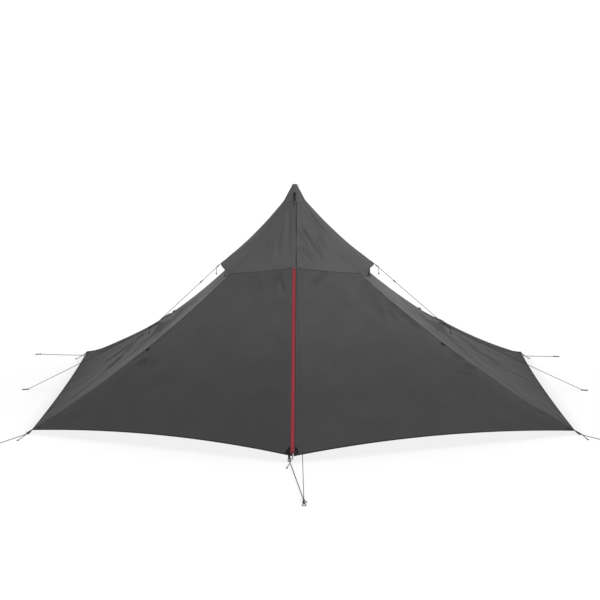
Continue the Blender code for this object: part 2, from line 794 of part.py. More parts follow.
def make_pull(end):
    """A flat pull whose fork straddles the slider's lug, turning on its pin."""
    name = f"zip_pull_{END_NAMES[end]}"
    place = zip_place(end, slider_down(end)) @ Matrix.Translation((0, pull_pin_height(end), 0))
    half, fork = PULL_WIDTH / 2, PULL_FORK / 2
    head = PULL_HALF_THICKNESS
    tip = half - PULL_TAPER
    right = [(fork, PULL_FORK_DEPTH), (fork, -head), (half, -head), (half, PULL_SHOULDER),
             (tip, PULL_LENGTH - 2 * PULL_TIP_CHAMFER), (tip - PULL_TIP_CHAMFER, PULL_LENGTH)]
    outline = right + [(-x, y) for x, y in reversed(right)]
    middle = PULL_LENGTH - PULL_HOLE_MARGIN
    hole = [(PULL_HOLE_RADIUS * math.cos(turn), middle + PULL_HOLE_RADIUS * math.sin(turn))
            for turn in (math.tau * step / 8 for step in range(8))]
    down_sign = 1 if zip_line(end).dot(place.to_3x3() @ UP) > 0 else -1
    lie = Matrix.Rotation(down_sign * math.pi / 2, 4, "X")
    plate = flat_piece(name, [outline, hole], 2 * head, place @ lie, TRIM_BLACK)
    plate = as_mesh(plate)
    bore = rod_mesh("pull_bore", PULL_PIN_RADIUS + PULL_PIN_GAP, PULL_WIDTH * 2, PIN_STEPS)
    across = Matrix.Rotation(math.pi / 2, 4, "Y")
    cut(plate, add_cutter(f"pull_bore_{END_NAMES[end]}", bore, place @ across))
    return plate


# Line locks and guy lines

def lock_outlines(strap):
    """A sewn strap and the ladder frame that it holds, with the frame's two slots."""
    half_strap, half = STRAP_WIDTH / 2, LOCK_WIDTH / 2
    end = strap + LOCK_LENGTH
    chamfer = LOCK_CHAMFER
    lower = [(0, -half_strap), (strap, -half_strap), (strap + chamfer / 4, -half + chamfer),
             (strap + chamfer, -half), (end - chamfer, -half), (end, -half + chamfer)]
    outline = lower + [(x, -y) for x, y in reversed(lower)]
    slot_length = (LOCK_LENGTH - 3 * LOCK_BAR) / 2
    outlines = [outline]
    for number in range(2):
        near = strap + LOCK_BAR + number * (slot_length + LOCK_BAR)
        inner = half - LOCK_BAR
        outlines.append([(near, -inner), (near + slot_length, -inner),
                         (near + slot_length, inner), (near, inner)])
    return outlines


def make_lock(name, start, along, facing, strap):
    """A lock that starts at a point of the cloth and runs along its line."""
    place = place_at(start, along, facing)
    return flat_piece(name, lock_outlines(strap), LOCK_THICKNESS, place, TRIM_BLACK)


def line_start(start, along, strap, stake):
    """Where a line leaves its lock, clear of the lock's square end when it leaves at an angle."""
    tip = start + along.normalized() * (strap + LOCK_LENGTH)
    tip.z = max(tip.z, CORD_RADIUS + GROUND_GAP)
    lead = (stake - tip).normalized()
    clear = RUNNING_GAP + math.sin(lead.angle(along)) * LOCK_THICKNESS / 2
    return tip + lead * clear


def taut_route(start, stop):
    """Points of a tight line, which drops by its sag in the middle."""
    route = []
    for step in range(CORD_POINTS):
        t = step / (CORD_POINTS - 1)
        place = start.lerp(stop, t) - UP * CORD_SAG * 4 * t * (1 - t)
        place.z = max(place.z, CORD_RADIUS + GROUND_GAP)
        route.append(place)
    return route


def peg_eye(stop, along):
    """A long eye on the ground beyond a line's knot: out on one side, round the peg's place, and back."""
    level = Vector((along.x, along.y, 0)).normalized()
    across = UP.cross(level)
    spread_angle = math.asin(EYE_RADIUS / EYE_REACH)
    sweep = math.pi + 2 * spread_angle
    places = []
    for step in range(EYE_POINTS + 1):
        turn = sweep * (step / EYE_POINTS - 0.5)
        places.append((EYE_REACH + EYE_RADIUS * math.cos(turn), EYE_RADIUS * math.sin(turn)))
    places.append((EYE_END * math.cos(spread_angle), EYE_END * math.sin(spread_angle)))
    floor = CORD_RADIUS + GROUND_GAP
    return [Vector((*(stop + level * ahead + across * aside).xy, floor)) for ahead, aside in places]


def make_line(name, start, stop):
    route = taut_route(start, stop) + peg_eye(stop, stop - start)
    return tube_piece(name, route, CORD_RADIUS, CORD_GREY)


def stake_knot(x, y):
    return Vector((x, y, KNOT_HEIGHT))


def corner_lead(side, end):
    if end == FRONT:
        sideways, outwards = FRONT_LEFT_LEAD if side == LEFT else FRONT_RIGHT_LEAD
    else:
        sideways, outwards = REAR_LEFT_LEAD if side == LEFT else REAR_RIGHT_LEAD
    return Vector((side * sideways, end * outwards, 0))


def make_ground_lock(lock_name, line_name, start, stake, strap):
    """A lock that slopes from the cloth down to the ground, and its line to a stake."""
    lead = stake - start
    outward = Vector((lead.x, lead.y, 0)).normalized()
    length = strap + LOCK_LENGTH
    fall = start.z
    for _ in range(SLOPE_PASSES):
        along = (outward * math.sqrt(length ** 2 - fall ** 2) - UP * fall).normalized()
        fall = start.z - LOCK_THICKNESS / 2 * math.hypot(along.x, along.y)
    make_lock(lock_name, start, along, UP, strap)
    make_line(line_name, line_start(start, along, strap, stake), stake)


def cloth_reach(point, down, across, origin, outward):
    """How far a panel's corner, with its thickness, stands out past a point."""
    place = point(down, across)
    half = normal_of(point, down, across, UP) * (CLOTH / 2)
    return max((place + half - origin).dot(outward), (place - half - origin).dot(outward))


def make_corner(side, end):
    place_name = f"{END_NAMES[end]}_{SIDE_NAMES[side]}"
    lead = corner_lead(side, end)
    outward = lead.normalized()
    tip = corner(side, end)
    panel, beside = side_surface(side), surround_surface(side, end)
    reach = max(cloth_reach(panel, 1, 0 if end == FRONT else 1, tip, outward),
                cloth_reach(beside, 1, 0, tip, outward))
    start = tip + outward * (reach + RUNNING_GAP)
    stake = stake_knot(*(corner(side, end) + lead).xy)
    make_ground_lock(f"corner_lock_{place_name}", f"corner_line_{place_name}", start, stake,
                     CORNER_STRAP)


def tie_apex(side):
    out = normal_of(plain_side_surface(side), tie_share(side), 0.5, Vector((side, 0, 1)))
    return tie_point(side) + out * (CLOTH / 2 + 2 * RUNNING_GAP)


def make_side_lines(side):
    """The tie-out's lock, the line to the ground, and the hood's line, which ends at the tie-out."""
    name = SIDE_NAMES[side]
    apex = tie_apex(side)
    out = normal_of(plain_side_surface(side), tie_share(side), 0.5, Vector((side, 0, 1)))
    apex += out * (LOCK_THICKNESS / 2)
    stake = stake_knot(base_x(side, SIDE_STAKE_REACH), 0)
    along = (stake - apex).normalized()
    make_lock(f"tie_out_{name}", apex, along, out, TIE_STRAP)
    make_line(f"side_line_{name}", line_start(apex, along, TIE_STRAP, stake), stake)

    tip = Vector((base_x(side, HOOD_REACH), 0, HOOD_HEIGHT))
    target = apex + along * TIE_LINE_PLACE
    target += out * (LOCK_THICKNESS / 2 + CORD_RADIUS + RUNNING_GAP)
    run = (target - tip).normalized()
    start = tip + run * RUNNING_GAP
    make_lock(f"hood_lock_{name}", start, run, Vector((side, 0, 2)), HOOD_STRAP)
    first = line_start(start, run, HOOD_STRAP, target)
    route = [first.lerp(target, step / (CORD_POINTS - 1)) for step in range(CORD_POINTS)]
    tube_piece(f"hood_line_{name}", route, CORD_RADIUS, CORD_GREY)
    make_slide_lock(side, first, run)


def make_slide_lock(side, first, run):
    """A small block that runs along the hood's line and grips it where it is left."""
    name = f"slide_lock_{SIDE_NAMES[side]}"
    centre = first + run * SLIDE_LOCK_PLACE
    place = place_at(centre, run, Vector((side, 0, 2)))
    block = bpy.data.meshes.new(name)
    working = bmesh.new()
    bmesh.ops.create_cube(working, size=1)
    bmesh.ops.scale(working, verts=working.verts, vec=SLIDE_LOCK_SIZE)
    working.to_mesh(block)
    working.free()
    piece = add_piece(name, block, TRIM_BLACK, place)
    edges = piece.modifiers.new("Edges", "BEVEL")
    edges.width = SLIDE_LOCK_EDGE
    edges.segments = 2
    bore = rod_mesh("slide_lock_bore", SLIDE_LOCK_BORE, SLIDE_LOCK_SIZE[0] * 2, PIN_STEPS)
    lengthwise = Matrix.Rotation(math.pi / 2, 4, "Y")
    cut(piece, add_cutter(f"slide_lock_bore_{SIDE_NAMES[side]}", bore, place @ lengthwise))
    carry(f"slide_{SIDE_NAMES[side]}", centre, [piece])


def make_door_lines(end):
    """The peak's line and the zip foot's line, which share a stake before the door."""
    name = END_NAMES[end]
    stakes = [stake_knot(DOOR_STAKE_X, end * (DOOR_STAKE_REACH + further))
              for further in (0, STAKE_SPACING)]
    height = (PEAK_HEIGHT + CAP_RIM_HEIGHT) / 2
    cone_point = Vector((0, end * cap_outer(height), height))
    cone_out = Vector((0, end, cap_outer(0) - cap_outer(1))).normalized()
    peak_start = cone_point + cone_out * (LOCK_THICKNESS / 2 + RUNNING_GAP)
    run = (stakes[1] - peak_start).normalized()
    make_lock(f"peak_lock_{name}", peak_start, run, UP, PEAK_STRAP)
    make_line(f"peak_line_{name}", line_start(peak_start, run, PEAK_STRAP, stakes[1]), stakes[1])

    hem_length = (zip_foot(end) - corner(LEFT, end)).length
    hem_side = zip_foot(end) - door_hem(LEFT, end, 1 - STRAP_WIDTH / hem_length)
    skew = STRAP_WIDTH / 2 * abs(hem_side.y / hem_side.x)
    start = door_hem(LEFT, end, 1 - DOOR_LOCK_X / hem_length)
    start += zip_line(end) * (skew + CLOTH / 2 + RUNNING_GAP)
    make_ground_lock(f"door_lock_{name}", f"door_line_{name}", start, stakes[0], DOOR_STRAP)


def make_toggle(side, end):
    """A waisted bar that lies on the ridge, where a rolled door is tied back."""
    ridge_length = (corner(side, end) - seam_point(side, end)).xy.length
    share = TOGGLE_PLACE / ridge_length
    surface = surround_surface(side, end)
    across = TOGGLE_SHARES[end]
    normal = normal_of(surface, share, across, Vector((side, end, 2)))
    place = surface(share, across) + normal * (TOGGLE_RADIUS + CLOTH / 2 + TOGGLE_GAP)
    along = surface(share + NORMAL_STEP, across) - surface(share, across)
    along = (along - normal * along.dot(normal)).normalized()
    turn = along.to_track_quat("Z", "Y").to_matrix().to_4x4()
    half = TOGGLE_LENGTH / 2
    upper = [(0, half), (TOGGLE_NECK, half), (TOGGLE_RADIUS, half * 0.75), (TOGGLE_WAIST, half * 0.2)]
    profile = upper + [(radius, -height) for radius, height in reversed(upper)]
    piece = turned_piece(f"ridge_toggle_{END_NAMES[end]}_{SIDE_NAMES[side]}", profile, TRIM_BLACK,
                         Matrix.Translation(place) @ turn)
    piece.modifiers["Turn"].steps = TOGGLE_STEPS
    piece.modifiers["Turn"].render_steps = TOGGLE_STEPS


# Peak cap and pole

def cap_outer(height):
    """Radius of the cap's outer face, which covers the cloth's top edge by its own wall."""
    slope = (CAP_RADIUS + CAP_WALL - CAP_TOP_RADIUS) / (PEAK_HEIGHT - CAP_RIM_HEIGHT)
    return CAP_TOP_RADIUS + (PEAK_HEIGHT - height) * slope


def make_peak_cap():
    """A stiff cone over the panels' top edges, with a boss inside that the pole's tip enters."""
    rim = CAP_RIM_HEIGHT + CLOTH
    outer = cap_outer(rim)
    ceiling = PEAK_HEIGHT - CAP_TOP_WALL
    inner_top = cap_outer(ceiling) - 2 * CAP_WALL
    bore = TIP_RADIUS + RUNNING_GAP
    boss_foot, socket_top = ceiling - CAP_BOSS_DEPTH, ceiling + CAP_SOCKET_DEPTH
    profile = [(0, PEAK_HEIGHT), (CAP_TOP_RADIUS, PEAK_HEIGHT), (outer, rim), (outer - CAP_LAP, rim),
               (inner_top, ceiling), (CAP_BOSS_RADIUS, ceiling), (CAP_BOSS_RADIUS, boss_foot),
               (bore, boss_foot), (bore, socket_top), (0, socket_top)]
    turned_piece("peak_cap", profile, CAP_GREY)


def tube_profile(radius, top, foot):
    return [(radius, top), (radius, foot), (radius - TUBE_WALL, foot), (radius - TUBE_WALL, top)]


def make_pole():
    ceiling = PEAK_HEIGHT - CAP_TOP_WALL
    boss_foot = ceiling - CAP_BOSS_DEPTH
    shoulder = boss_foot - RUNNING_GAP
    tip_top = ceiling + CAP_SOCKET_DEPTH - RUNNING_GAP
    upper = [(0, tip_top), (TIP_TOP_RADIUS, tip_top), (TIP_RADIUS, tip_top - EDGE),
             (TIP_RADIUS, shoulder), (UPPER_RADIUS - EDGE, shoulder), (UPPER_RADIUS, shoulder - EDGE),
             (UPPER_RADIUS, UPPER_FOOT), (UPPER_RADIUS - TUBE_WALL, UPPER_FOOT),
             (UPPER_RADIUS - TUBE_WALL, shoulder - TIP_PLUG), (0, shoulder - TIP_PLUG)]
    turned_piece("pole_upper", upper, POLE_SILVER)

    lower_foot = FOOT_FLOOR + RUNNING_GAP
    lower = turned_piece("pole_lower", tube_profile(LOWER_RADIUS, LOWER_TOP, lower_foot), POLE_SILVER)
    socket = LOWER_RADIUS + RUNNING_GAP
    foot = [(0, FOOT_FLOOR), (socket, FOOT_FLOOR), (socket, FOOT_HEIGHT),
            (FOOT_TOP_RADIUS, FOOT_HEIGHT), (FOOT_WAIST_RADIUS, FOOT_HEIGHT * FOOT_WAIST_SHARE),
            (FOOT_RADIUS, FOOT_HEIGHT * FOOT_BULGE_SHARE), (FOOT_RADIUS, EDGE),
            (FOOT_RADIUS - EDGE, 0), (0, 0)]
    foot_piece = turned_piece("pole_foot", foot, RUBBER_BLACK)
    carry("pole_slide", Vector((0, 0, 0)), [lower, foot_piece])


def make_clamp():
    """A collar that stands under the upper tube's end, with two ears and the lever's pin."""
    outer = UPPER_RADIUS + CLAMP_WALL
    foot = UPPER_FOOT - RUNNING_GAP - CLAMP_LIP
    top = foot + CLAMP_HEIGHT
    narrow, wide = LOWER_RADIUS + RUNNING_GAP, UPPER_RADIUS + RUNNING_GAP
    profile = [(outer - EDGE, top), (outer, top - EDGE), (outer, foot + EDGE),
               (outer - EDGE, foot), (narrow, foot), (narrow, foot + CLAMP_LIP),
               (wide, foot + CLAMP_LIP), (wide, top)]
    collar = turned_piece("pole_clamp", profile, RUBBER_BLACK)
    reach = EAR_REACH
    root = outer - EAR_ROOT
    ear_outline = [(root, -EAR_RADIUS), (reach, -EAR_RADIUS)]
    ear_outline += [(reach + EAR_RADIUS * math.cos(turn), EAR_RADIUS * math.sin(turn))
                    for turn in (math.pi * (step / 6 - 0.5) for step in range(1, 6))]
    ear_outline += [(reach, EAR_RADIUS), (root, EAR_RADIUS)]
    for number, height in enumerate((top - EAR_THICKNESS / 2, foot + EAR_THICKNESS / 2)):
        ear = as_mesh(flat_piece(f"ear_{number}", [ear_outline], EAR_THICKNESS,
                                 Matrix.Translation((0, 0, height)), RUBBER_BLACK))
        PARTS.objects.unlink(ear)
        CUTTERS.objects.link(ear)
        ear.hide_render = True
        ear.display_type = "WIRE"
        cut(collar, ear, "UNION")
    pin = rod_mesh("lever_pin", LEVER_PIN_RADIUS, CLAMP_HEIGHT - EAR_THICKNESS)
    middle = (top + foot) / 2
    cut(collar, add_cutter("lever_pin", pin, Matrix.Translation((reach, 0, middle))), "UNION")
    make_lever(middle, top - foot - 2 * EAR_THICKNESS - 2 * RUNNING_GAP)


def make_lever(middle, height):
    """A curved arm that wraps the collar from its pin, and swings out to free the tube."""
    inner = UPPER_RADIUS + CLAMP_WALL + LEVER_CLEAR
    outer = inner + LEVER_THICKNESS
    hub = LEVER_PIN_RADIUS + LEVER_PIN_GAP + LEVER_HUB_WALL
    start = math.atan2(hub, EAR_REACH)
    turns = [start * 1.5 + (LEVER_SWEEP - start) * step / LEVER_STEPS for step in range(LEVER_STEPS + 1)]
    hub_points = [(EAR_REACH + hub * math.cos(turn), hub * math.sin(turn))
                  for turn in (HUB_START + HUB_TURN * step / HUB_STEPS for step in range(HUB_STEPS + 1))]
    outer_points = [(outer * math.cos(turn), outer * math.sin(turn)) for turn in turns]
    inner_points = [(inner * math.cos(turn), inner * math.sin(turn)) for turn in reversed(turns)]
    place = Matrix.Translation((0, 0, middle))
    lever = as_mesh(flat_piece("pole_lever", [hub_points + outer_points + inner_points], height,
                               place, RUBBER_BLACK))
    bore = rod_mesh("lever_bore", LEVER_PIN_RADIUS + LEVER_PIN_GAP, height * 2)
    cut(lever, add_cutter("lever_bore", bore, Matrix.Translation((EAR_REACH, 0, middle))))
    carry("lever_hinge", Vector((EAR_REACH, 0, middle)), [lever])


def build():
    make_top_panels()
    make_hoods()
    make_side_panels()
    make_vent_nets()
    make_peak_cap()
    make_pole()
    make_clamp()
    for end in (FRONT, REAR):
        chain, tape = make_zip(end)
        slider, pull = make_slider(end), make_pull(end)
        bpy.context.view_layer.update()
        for side in (LEFT, RIGHT):
            make_surround(side, end)
            make_toggle(side, end)
            make_corner(side, end)
            door = make_door(side, end)
            bpy.context.view_layer.update()
            place, _ = hinge_axis(side, end)
            riders = [door, chain, slider, pull] if side == LEFT else [door, tape]
            carry(f"fold_{END_NAMES[end]}_{SIDE_NAMES[side]}", place, riders)
        make_door_lines(end)
    for side in (LEFT, RIGHT):
        make_side_lines(side)


empty_scene()
PARTS = new_collection("Shelter")
CUTTERS = new_collection("Cutters")
build()
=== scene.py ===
# %% [markdown]
# # A shelter tent on one pole
# The tent is six-sided: four ridges run from the peak to the corners, and a zip makes a fifth and a sixth
# line down the front and the back. The solid model gives every place and every joint. This script gives
# the cloth, cords and hardware their real shapes and surfaces over it, in the same metres.

# %% Load the solid model
import math

import bmesh
import bpy
import numpy as np
from mathutils import Matrix, Vector
from mathutils.bvhtree import BVHTree


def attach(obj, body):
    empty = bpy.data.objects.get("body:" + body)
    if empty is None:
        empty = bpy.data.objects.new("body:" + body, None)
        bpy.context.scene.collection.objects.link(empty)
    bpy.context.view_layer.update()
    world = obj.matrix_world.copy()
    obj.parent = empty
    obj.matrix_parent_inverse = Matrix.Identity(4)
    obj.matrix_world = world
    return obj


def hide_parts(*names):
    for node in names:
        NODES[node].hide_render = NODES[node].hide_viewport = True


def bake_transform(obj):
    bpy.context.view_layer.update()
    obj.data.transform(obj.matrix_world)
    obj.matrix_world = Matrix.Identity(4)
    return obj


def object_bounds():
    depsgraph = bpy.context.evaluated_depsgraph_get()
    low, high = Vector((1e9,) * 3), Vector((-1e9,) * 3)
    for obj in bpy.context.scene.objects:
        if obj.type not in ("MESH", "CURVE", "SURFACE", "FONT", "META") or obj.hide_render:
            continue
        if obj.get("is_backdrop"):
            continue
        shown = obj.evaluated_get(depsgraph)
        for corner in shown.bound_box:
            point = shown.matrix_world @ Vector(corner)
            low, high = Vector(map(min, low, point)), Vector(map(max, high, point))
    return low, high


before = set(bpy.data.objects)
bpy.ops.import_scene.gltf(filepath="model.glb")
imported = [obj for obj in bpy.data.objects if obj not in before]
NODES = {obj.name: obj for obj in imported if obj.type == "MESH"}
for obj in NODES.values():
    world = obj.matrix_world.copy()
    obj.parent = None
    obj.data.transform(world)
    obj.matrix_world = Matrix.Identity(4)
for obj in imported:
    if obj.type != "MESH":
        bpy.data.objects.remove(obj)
cad_low, cad_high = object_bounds()
UP = Vector((0, 0, 1))
LEFT, RIGHT = -1, 1
FRONT, REAR = -1, 1
SIDE_NAMES = {LEFT: "left", RIGHT: "right"}
END_NAMES = {FRONT: "front", REAR: "rear"}
PLACES = [(side, end) for side in (LEFT, RIGHT) for end in (FRONT, REAR)]


def place_name(side, end):
    return f"{END_NAMES[end]}_{SIDE_NAMES[side]}"


print("solid model spans", [round(high - low, 3) for low, high in zip(cad_low, cad_high)], "m")

# %% [markdown]
# ## Camera
# The place of the camera was worked out from fifteen points of the photograph whose place on the tent is
# known. It stands 9.6 m off and 2.6 m up, and looks down by eleven degrees.

# %% Set the camera
CAMERA_PLACE = (0.0867, -9.624, 2.621)
CAMERA_TILT, CAMERA_TURN = 0.1945, 0.0048       # radians, down from level and to the left
LENS, SENSOR, CLIP_END = 75.56, 36, 200         # mm, mm and m
PHOTO_PIXELS = 600

scene = bpy.context.scene
camera_data = bpy.data.cameras.new("photo_camera")
camera_data.sensor_width, camera_data.lens, camera_data.clip_end = SENSOR, LENS, CLIP_END
camera = bpy.data.objects.new("photo_camera", camera_data)
scene.collection.objects.link(camera)
camera.location = CAMERA_PLACE
camera.rotation_euler = (math.pi / 2 - CAMERA_TILT, 0, CAMERA_TURN)
scene.camera = camera
scene.view_settings.view_transform = "Standard"
print("camera at", tuple(round(x, 2) for x in camera.location), "with a", camera_data.lens, "mm lens")

# %% [markdown]
# ## Materials
# Each material is built from nodes. What several of them share is a node group that gives a mask, a value
# or a height: the ripstop weave, the soft crinkle of thin cloth, the braid of a cord, the ribs of webbing
# and the grain of moulded plastic. Weave, braid and ribs read the UV map, which is in metres.

# %% Node tools and shared patterns
WEAVE_PITCH, RIB_PITCH, TWILL_PITCH, NET_PITCH = 0.0009, 0.0016, 0.0022, 0.0016


def node(tree, kind, values=None, **settings):
    """A node with its settings, and with its inputs set to numbers or linked to other nodes' outputs."""
    made = tree.nodes.new(kind)
    for key, value in settings.items():
        setattr(made, key, value)
    for key, value in (values or {}).items():
        if isinstance(value, bpy.types.NodeSocket):
            tree.links.new(value, made.inputs[key])
        else:
            made.inputs[key].default_value = value
    return made


def maths(tree, operation, first, second=0.0):
    return node(tree, "ShaderNodeMath", {0: first, 1: second}, operation=operation).outputs[0]


def pattern(name, outputs, fill, **inputs):
    """A shared node group. fill(tree, inputs) returns the sockets of its outputs in order."""
    group = bpy.data.node_groups.new(name, "ShaderNodeTree")
    for key, value in inputs.items():
        socket = group.interface.new_socket(key, in_out="INPUT", socket_type="NodeSocketFloat")
        socket.default_value = value
    for key in outputs:
        group.interface.new_socket(key, in_out="OUTPUT", socket_type="NodeSocketFloat")
    given = group.nodes.new("NodeGroupInput")
    taken = group.nodes.new("NodeGroupOutput")
    for key, socket in zip(outputs, fill(group, given.outputs)):
        group.links.new(socket, taken.inputs[key])
    return group


def uv_parts(tree):
    uv = node(tree, "ShaderNodeUVMap", uv_map="UVMap").outputs[0]
    parts = node(tree, "ShaderNodeSeparateXYZ", {0: uv})
    return parts.outputs[0], parts.outputs[1]


def object_place(tree):
    return node(tree, "ShaderNodeTexCoord").outputs["Object"]


def remap(tree, value, start=0.0, stop=1.0, low=0.0, high=1.0, kind="LINEAR"):
    """A value between start and stop, turned into one between low and high."""
    return node(tree, "ShaderNodeMapRange", {0: value, 1: start, 2: stop, 3: low, 4: high},
                interpolation_type=kind).outputs[0]


def noise(tree, place, scale, detail, **more):
    values = {"Vector": place, "Scale": scale, "Detail": detail, **more}
    return node(tree, "ShaderNodeTexNoise", values).outputs["Fac"]


def wave_of(tree, value, wave_length):
    return maths(tree, "SINE", maths(tree, "MULTIPLY", maths(tree, "DIVIDE", value, wave_length), math.tau))


def off_middle(tree, value, spacing):
    """How far a value lies from the middle of its cell, as a share of the cell."""
    cell = maths(tree, "FRACT", maths(tree, "DIVIDE", value, spacing))
    return maths(tree, "ABSOLUTE", maths(tree, "SUBTRACT", cell, 0.5))


def fill_ripstop(tree, given):
    u, v = uv_parts(tree)
    lines = [remap(tree, off_middle(tree, value, given["Spacing"]), 0.42, 0.49) for value in (u, v)]
    weave = maths(tree, "MULTIPLY", wave_of(tree, u, WEAVE_PITCH), wave_of(tree, v, WEAVE_PITCH))
    return maths(tree, "MAXIMUM", *lines), weave


def fill_crinkle(tree, given):
    place = object_place(tree)
    broad = noise(tree, place, 5.0, 3.0, Distortion=0.8)
    fine = noise(tree, place, 34.0, 4.0, Roughness=0.6, Distortion=1.2)
    return maths(tree, "ADD", maths(tree, "MULTIPLY", broad, 3.0), fine), broad, fine


def fill_braid(tree, given):
    u, v = uv_parts(tree)
    strands, pitch = maths(tree, "MULTIPLY", u, 4.0), maths(tree, "DIVIDE", v, given["Pitch"])
    one, two = [maths(tree, "SINE", maths(tree, "MULTIPLY", maths(tree, way, strands, pitch), math.tau))
                for way in ("ADD", "SUBTRACT")]
    tracer = maths(tree, "FRACT", maths(tree, "ADD", u, maths(tree, "DIVIDE", pitch, 4.0)))
    return maths(tree, "MAXIMUM", one, two), maths(tree, "LESS_THAN", tracer, 0.09)


def fill_webbing(tree, given):
    u, v = uv_parts(tree)
    twill = wave_of(tree, maths(tree, "ADD", u, maths(tree, "MULTIPLY", v, 0.5)), TWILL_PITCH)
    both = maths(tree, "ADD", wave_of(tree, v, RIB_PITCH), maths(tree, "MULTIPLY", twill, 0.6))
    return maths(tree, "MULTIPLY", both, 0.6),


def fill_grain(tree, given):
    place = object_place(tree)
    worn = noise(tree, place, 60.0, 4.0)
    return noise(tree, place, given["Scale"], 2.0), remap(tree, worn, 0.55, 0.75)


RIPSTOP = pattern("ripstop", ("Lines", "Weave"), fill_ripstop, Spacing=0.006)
CRINKLE = pattern("crinkle", ("Height", "Broad", "Fine"), fill_crinkle)
BRAID = pattern("braid", ("Height", "Tracer"), fill_braid, Pitch=0.005)
WEBBING = pattern("webbing", ("Height",), fill_webbing)
GRAIN = pattern("grain", ("Height", "Rub"), fill_grain, Scale=1600.0)


def shared(tree, group, **values):
    made = tree.nodes.new("ShaderNodeGroup")
    made.node_tree = group
    for key, value in values.items():
        made.inputs[key].default_value = value
    return made.outputs


def scaled(colour, factor):
    return (*[min(1.0, part * factor) for part in colour], 1)


def blank(name, roughness, metallic=0.0, specular=0.5):
    material = bpy.data.materials.new(name)
    material.use_nodes = True
    shader = material.node_tree.nodes["Principled BSDF"]
    shader.inputs["Roughness"].default_value = roughness
    shader.inputs["Metallic"].default_value = metallic
    shader.inputs["Specular IOR Level"].default_value = specular
    return material, material.node_tree, shader


def colour_mix(tree, factor, dark, light):
    return node(tree, "ShaderNodeMix", {0: factor, 6: dark, 7: light}, data_type="RGBA").outputs[2]


def raise_bump(tree, shader, *layers):
    """Bump from (height socket, metres, strength) layers, one over the other."""
    normal = None
    for height, distance, strength in layers:
        bump = node(tree, "ShaderNodeBump", {"Height": height, "Distance": distance, "Strength": strength})
        if normal:
            tree.links.new(normal, bump.inputs["Normal"])
        normal = bump.outputs[0]
    tree.links.new(normal, shader.inputs["Normal"])


# %% [markdown]
# Each kind of surface is then one function. The darker and lighter cloths differ only in the numbers that
# it is called with. Cloth is also painted a little lighter with height: painted light, for the light that
# falls more on the upper cloth.

# %% Cloth, cord, webbing and hardware
PAINTED_LIGHT_START, PAINTED_LIGHT_FULL = 0.20, 0.95


def cloth_material(name, colour, roughness, inside, low=1.0, high=1.0, sheen=0.06):
    """Coated ripstop nylon, with a little lighter inner side. low and high scale its colour by height:
    painted light.
    """
    material, tree, shader = blank(name, roughness, specular=0.035)
    weave, crinkle = shared(tree, RIPSTOP), shared(tree, CRINKLE)
    # Uneven tone and painted shade both: the broad crinkle that raises the bump also darkens the colour
    # where it is low and lightens it where it is high.
    broad = colour_mix(tree, crinkle["Broad"], scaled(colour, 0.86), scaled(colour, 1.14))
    lined = colour_mix(tree, maths(tree, "MULTIPLY", weave["Lines"], 0.5), broad, scaled(colour, 0.72))
    # Painted light: the outer colour is scaled from low at the ground to high up, so the cloth is painted
    # lighter with height.
    height = node(tree, "ShaderNodeSeparateXYZ", {0: object_place(tree)}).outputs[2]
    share = remap(tree, height, PAINTED_LIGHT_START, PAINTED_LIGHT_FULL, kind="SMOOTHSTEP")
    level = remap(tree, share, low=low, high=high)
    outer = node(tree, "ShaderNodeHueSaturation", {"Value": level, "Color": lined}).outputs[0]
    back = node(tree, "ShaderNodeNewGeometry").outputs["Backfacing"]
    tree.links.new(colour_mix(tree, back, outer, scaled(colour, inside)), shader.inputs["Base Color"])
    satin = remap(tree, crinkle["Fine"], low=roughness - 0.07, high=roughness + 0.07)
    tree.links.new(satin, shader.inputs["Roughness"])
    shader.inputs["Sheen Weight"].default_value = sheen
    shader.inputs["Sheen Roughness"].default_value = 0.18
    raise_bump(tree, shader, (crinkle["Height"], 0.004, 0.30), (weave["Lines"], 0.00015, 0.6),
               (weave["Weave"], 0.00006, 0.4))
    return material


def cord_material(name, colour, tracer):
    """Braided cord, its grooves painted darker as shade, with a lighter strand that winds round it."""
    material, tree, shader = blank(name, 0.62)
    braid = shared(tree, BRAID)
    # Painted shade: the braid is painted darker in its grooves and lighter on its strands.
    half_height = maths(tree, "MULTIPLY", braid["Height"], 0.5)
    strand = colour_mix(tree, half_height, scaled(colour, 0.6), (*colour, 1))
    tree.links.new(colour_mix(tree, braid["Tracer"], strand, (*tracer, 1)), shader.inputs["Base Color"])
    raise_bump(tree, shader, (braid["Height"], 0.0003, 0.8))
    return material


def webbing_material(name, colour, roughness=0.7):
    """Woven tape or strap, with ribs across it, painted lighter on their crests and darker in their grooves
    as shade.
    """
    material, tree, shader = blank(name, roughness, specular=0.2)
    ribs, crinkle = shared(tree, WEBBING), shared(tree, CRINKLE)
    # Painted shade: the ribs' grooves are painted darker and their crests lighter.
    shade = maths(tree, "ADD", maths(tree, "MULTIPLY", ribs["Height"], 0.3), 0.5)
    tree.links.new(colour_mix(tree, shade, scaled(colour, 0.65), scaled(colour, 1.2)),
                   shader.inputs["Base Color"])
    raise_bump(tree, shader, (crinkle["Height"], 0.001, 0.1), (ribs["Height"], 0.0002, 0.7))
    return material


def moulded_material(name, colour, roughness, metallic=0.0, grain=1600.0, worn=1.8):
    """Moulded plastic, rubber or painted metal, rubbed lighter and smoother where it is handled."""
    material, tree, shader = blank(name, roughness, metallic)
    surface = shared(tree, GRAIN, Scale=grain)
    tree.links.new(colour_mix(tree, surface["Rub"], (*colour, 1), scaled(colour, worn)),
                   shader.inputs["Base Color"])
    rough = remap(tree, surface["Rub"], low=roughness, high=roughness * 0.7)
    tree.links.new(rough, shader.inputs["Roughness"])
    raise_bump(tree, shader, (surface["Height"], 0.00005, 0.5))
    return material


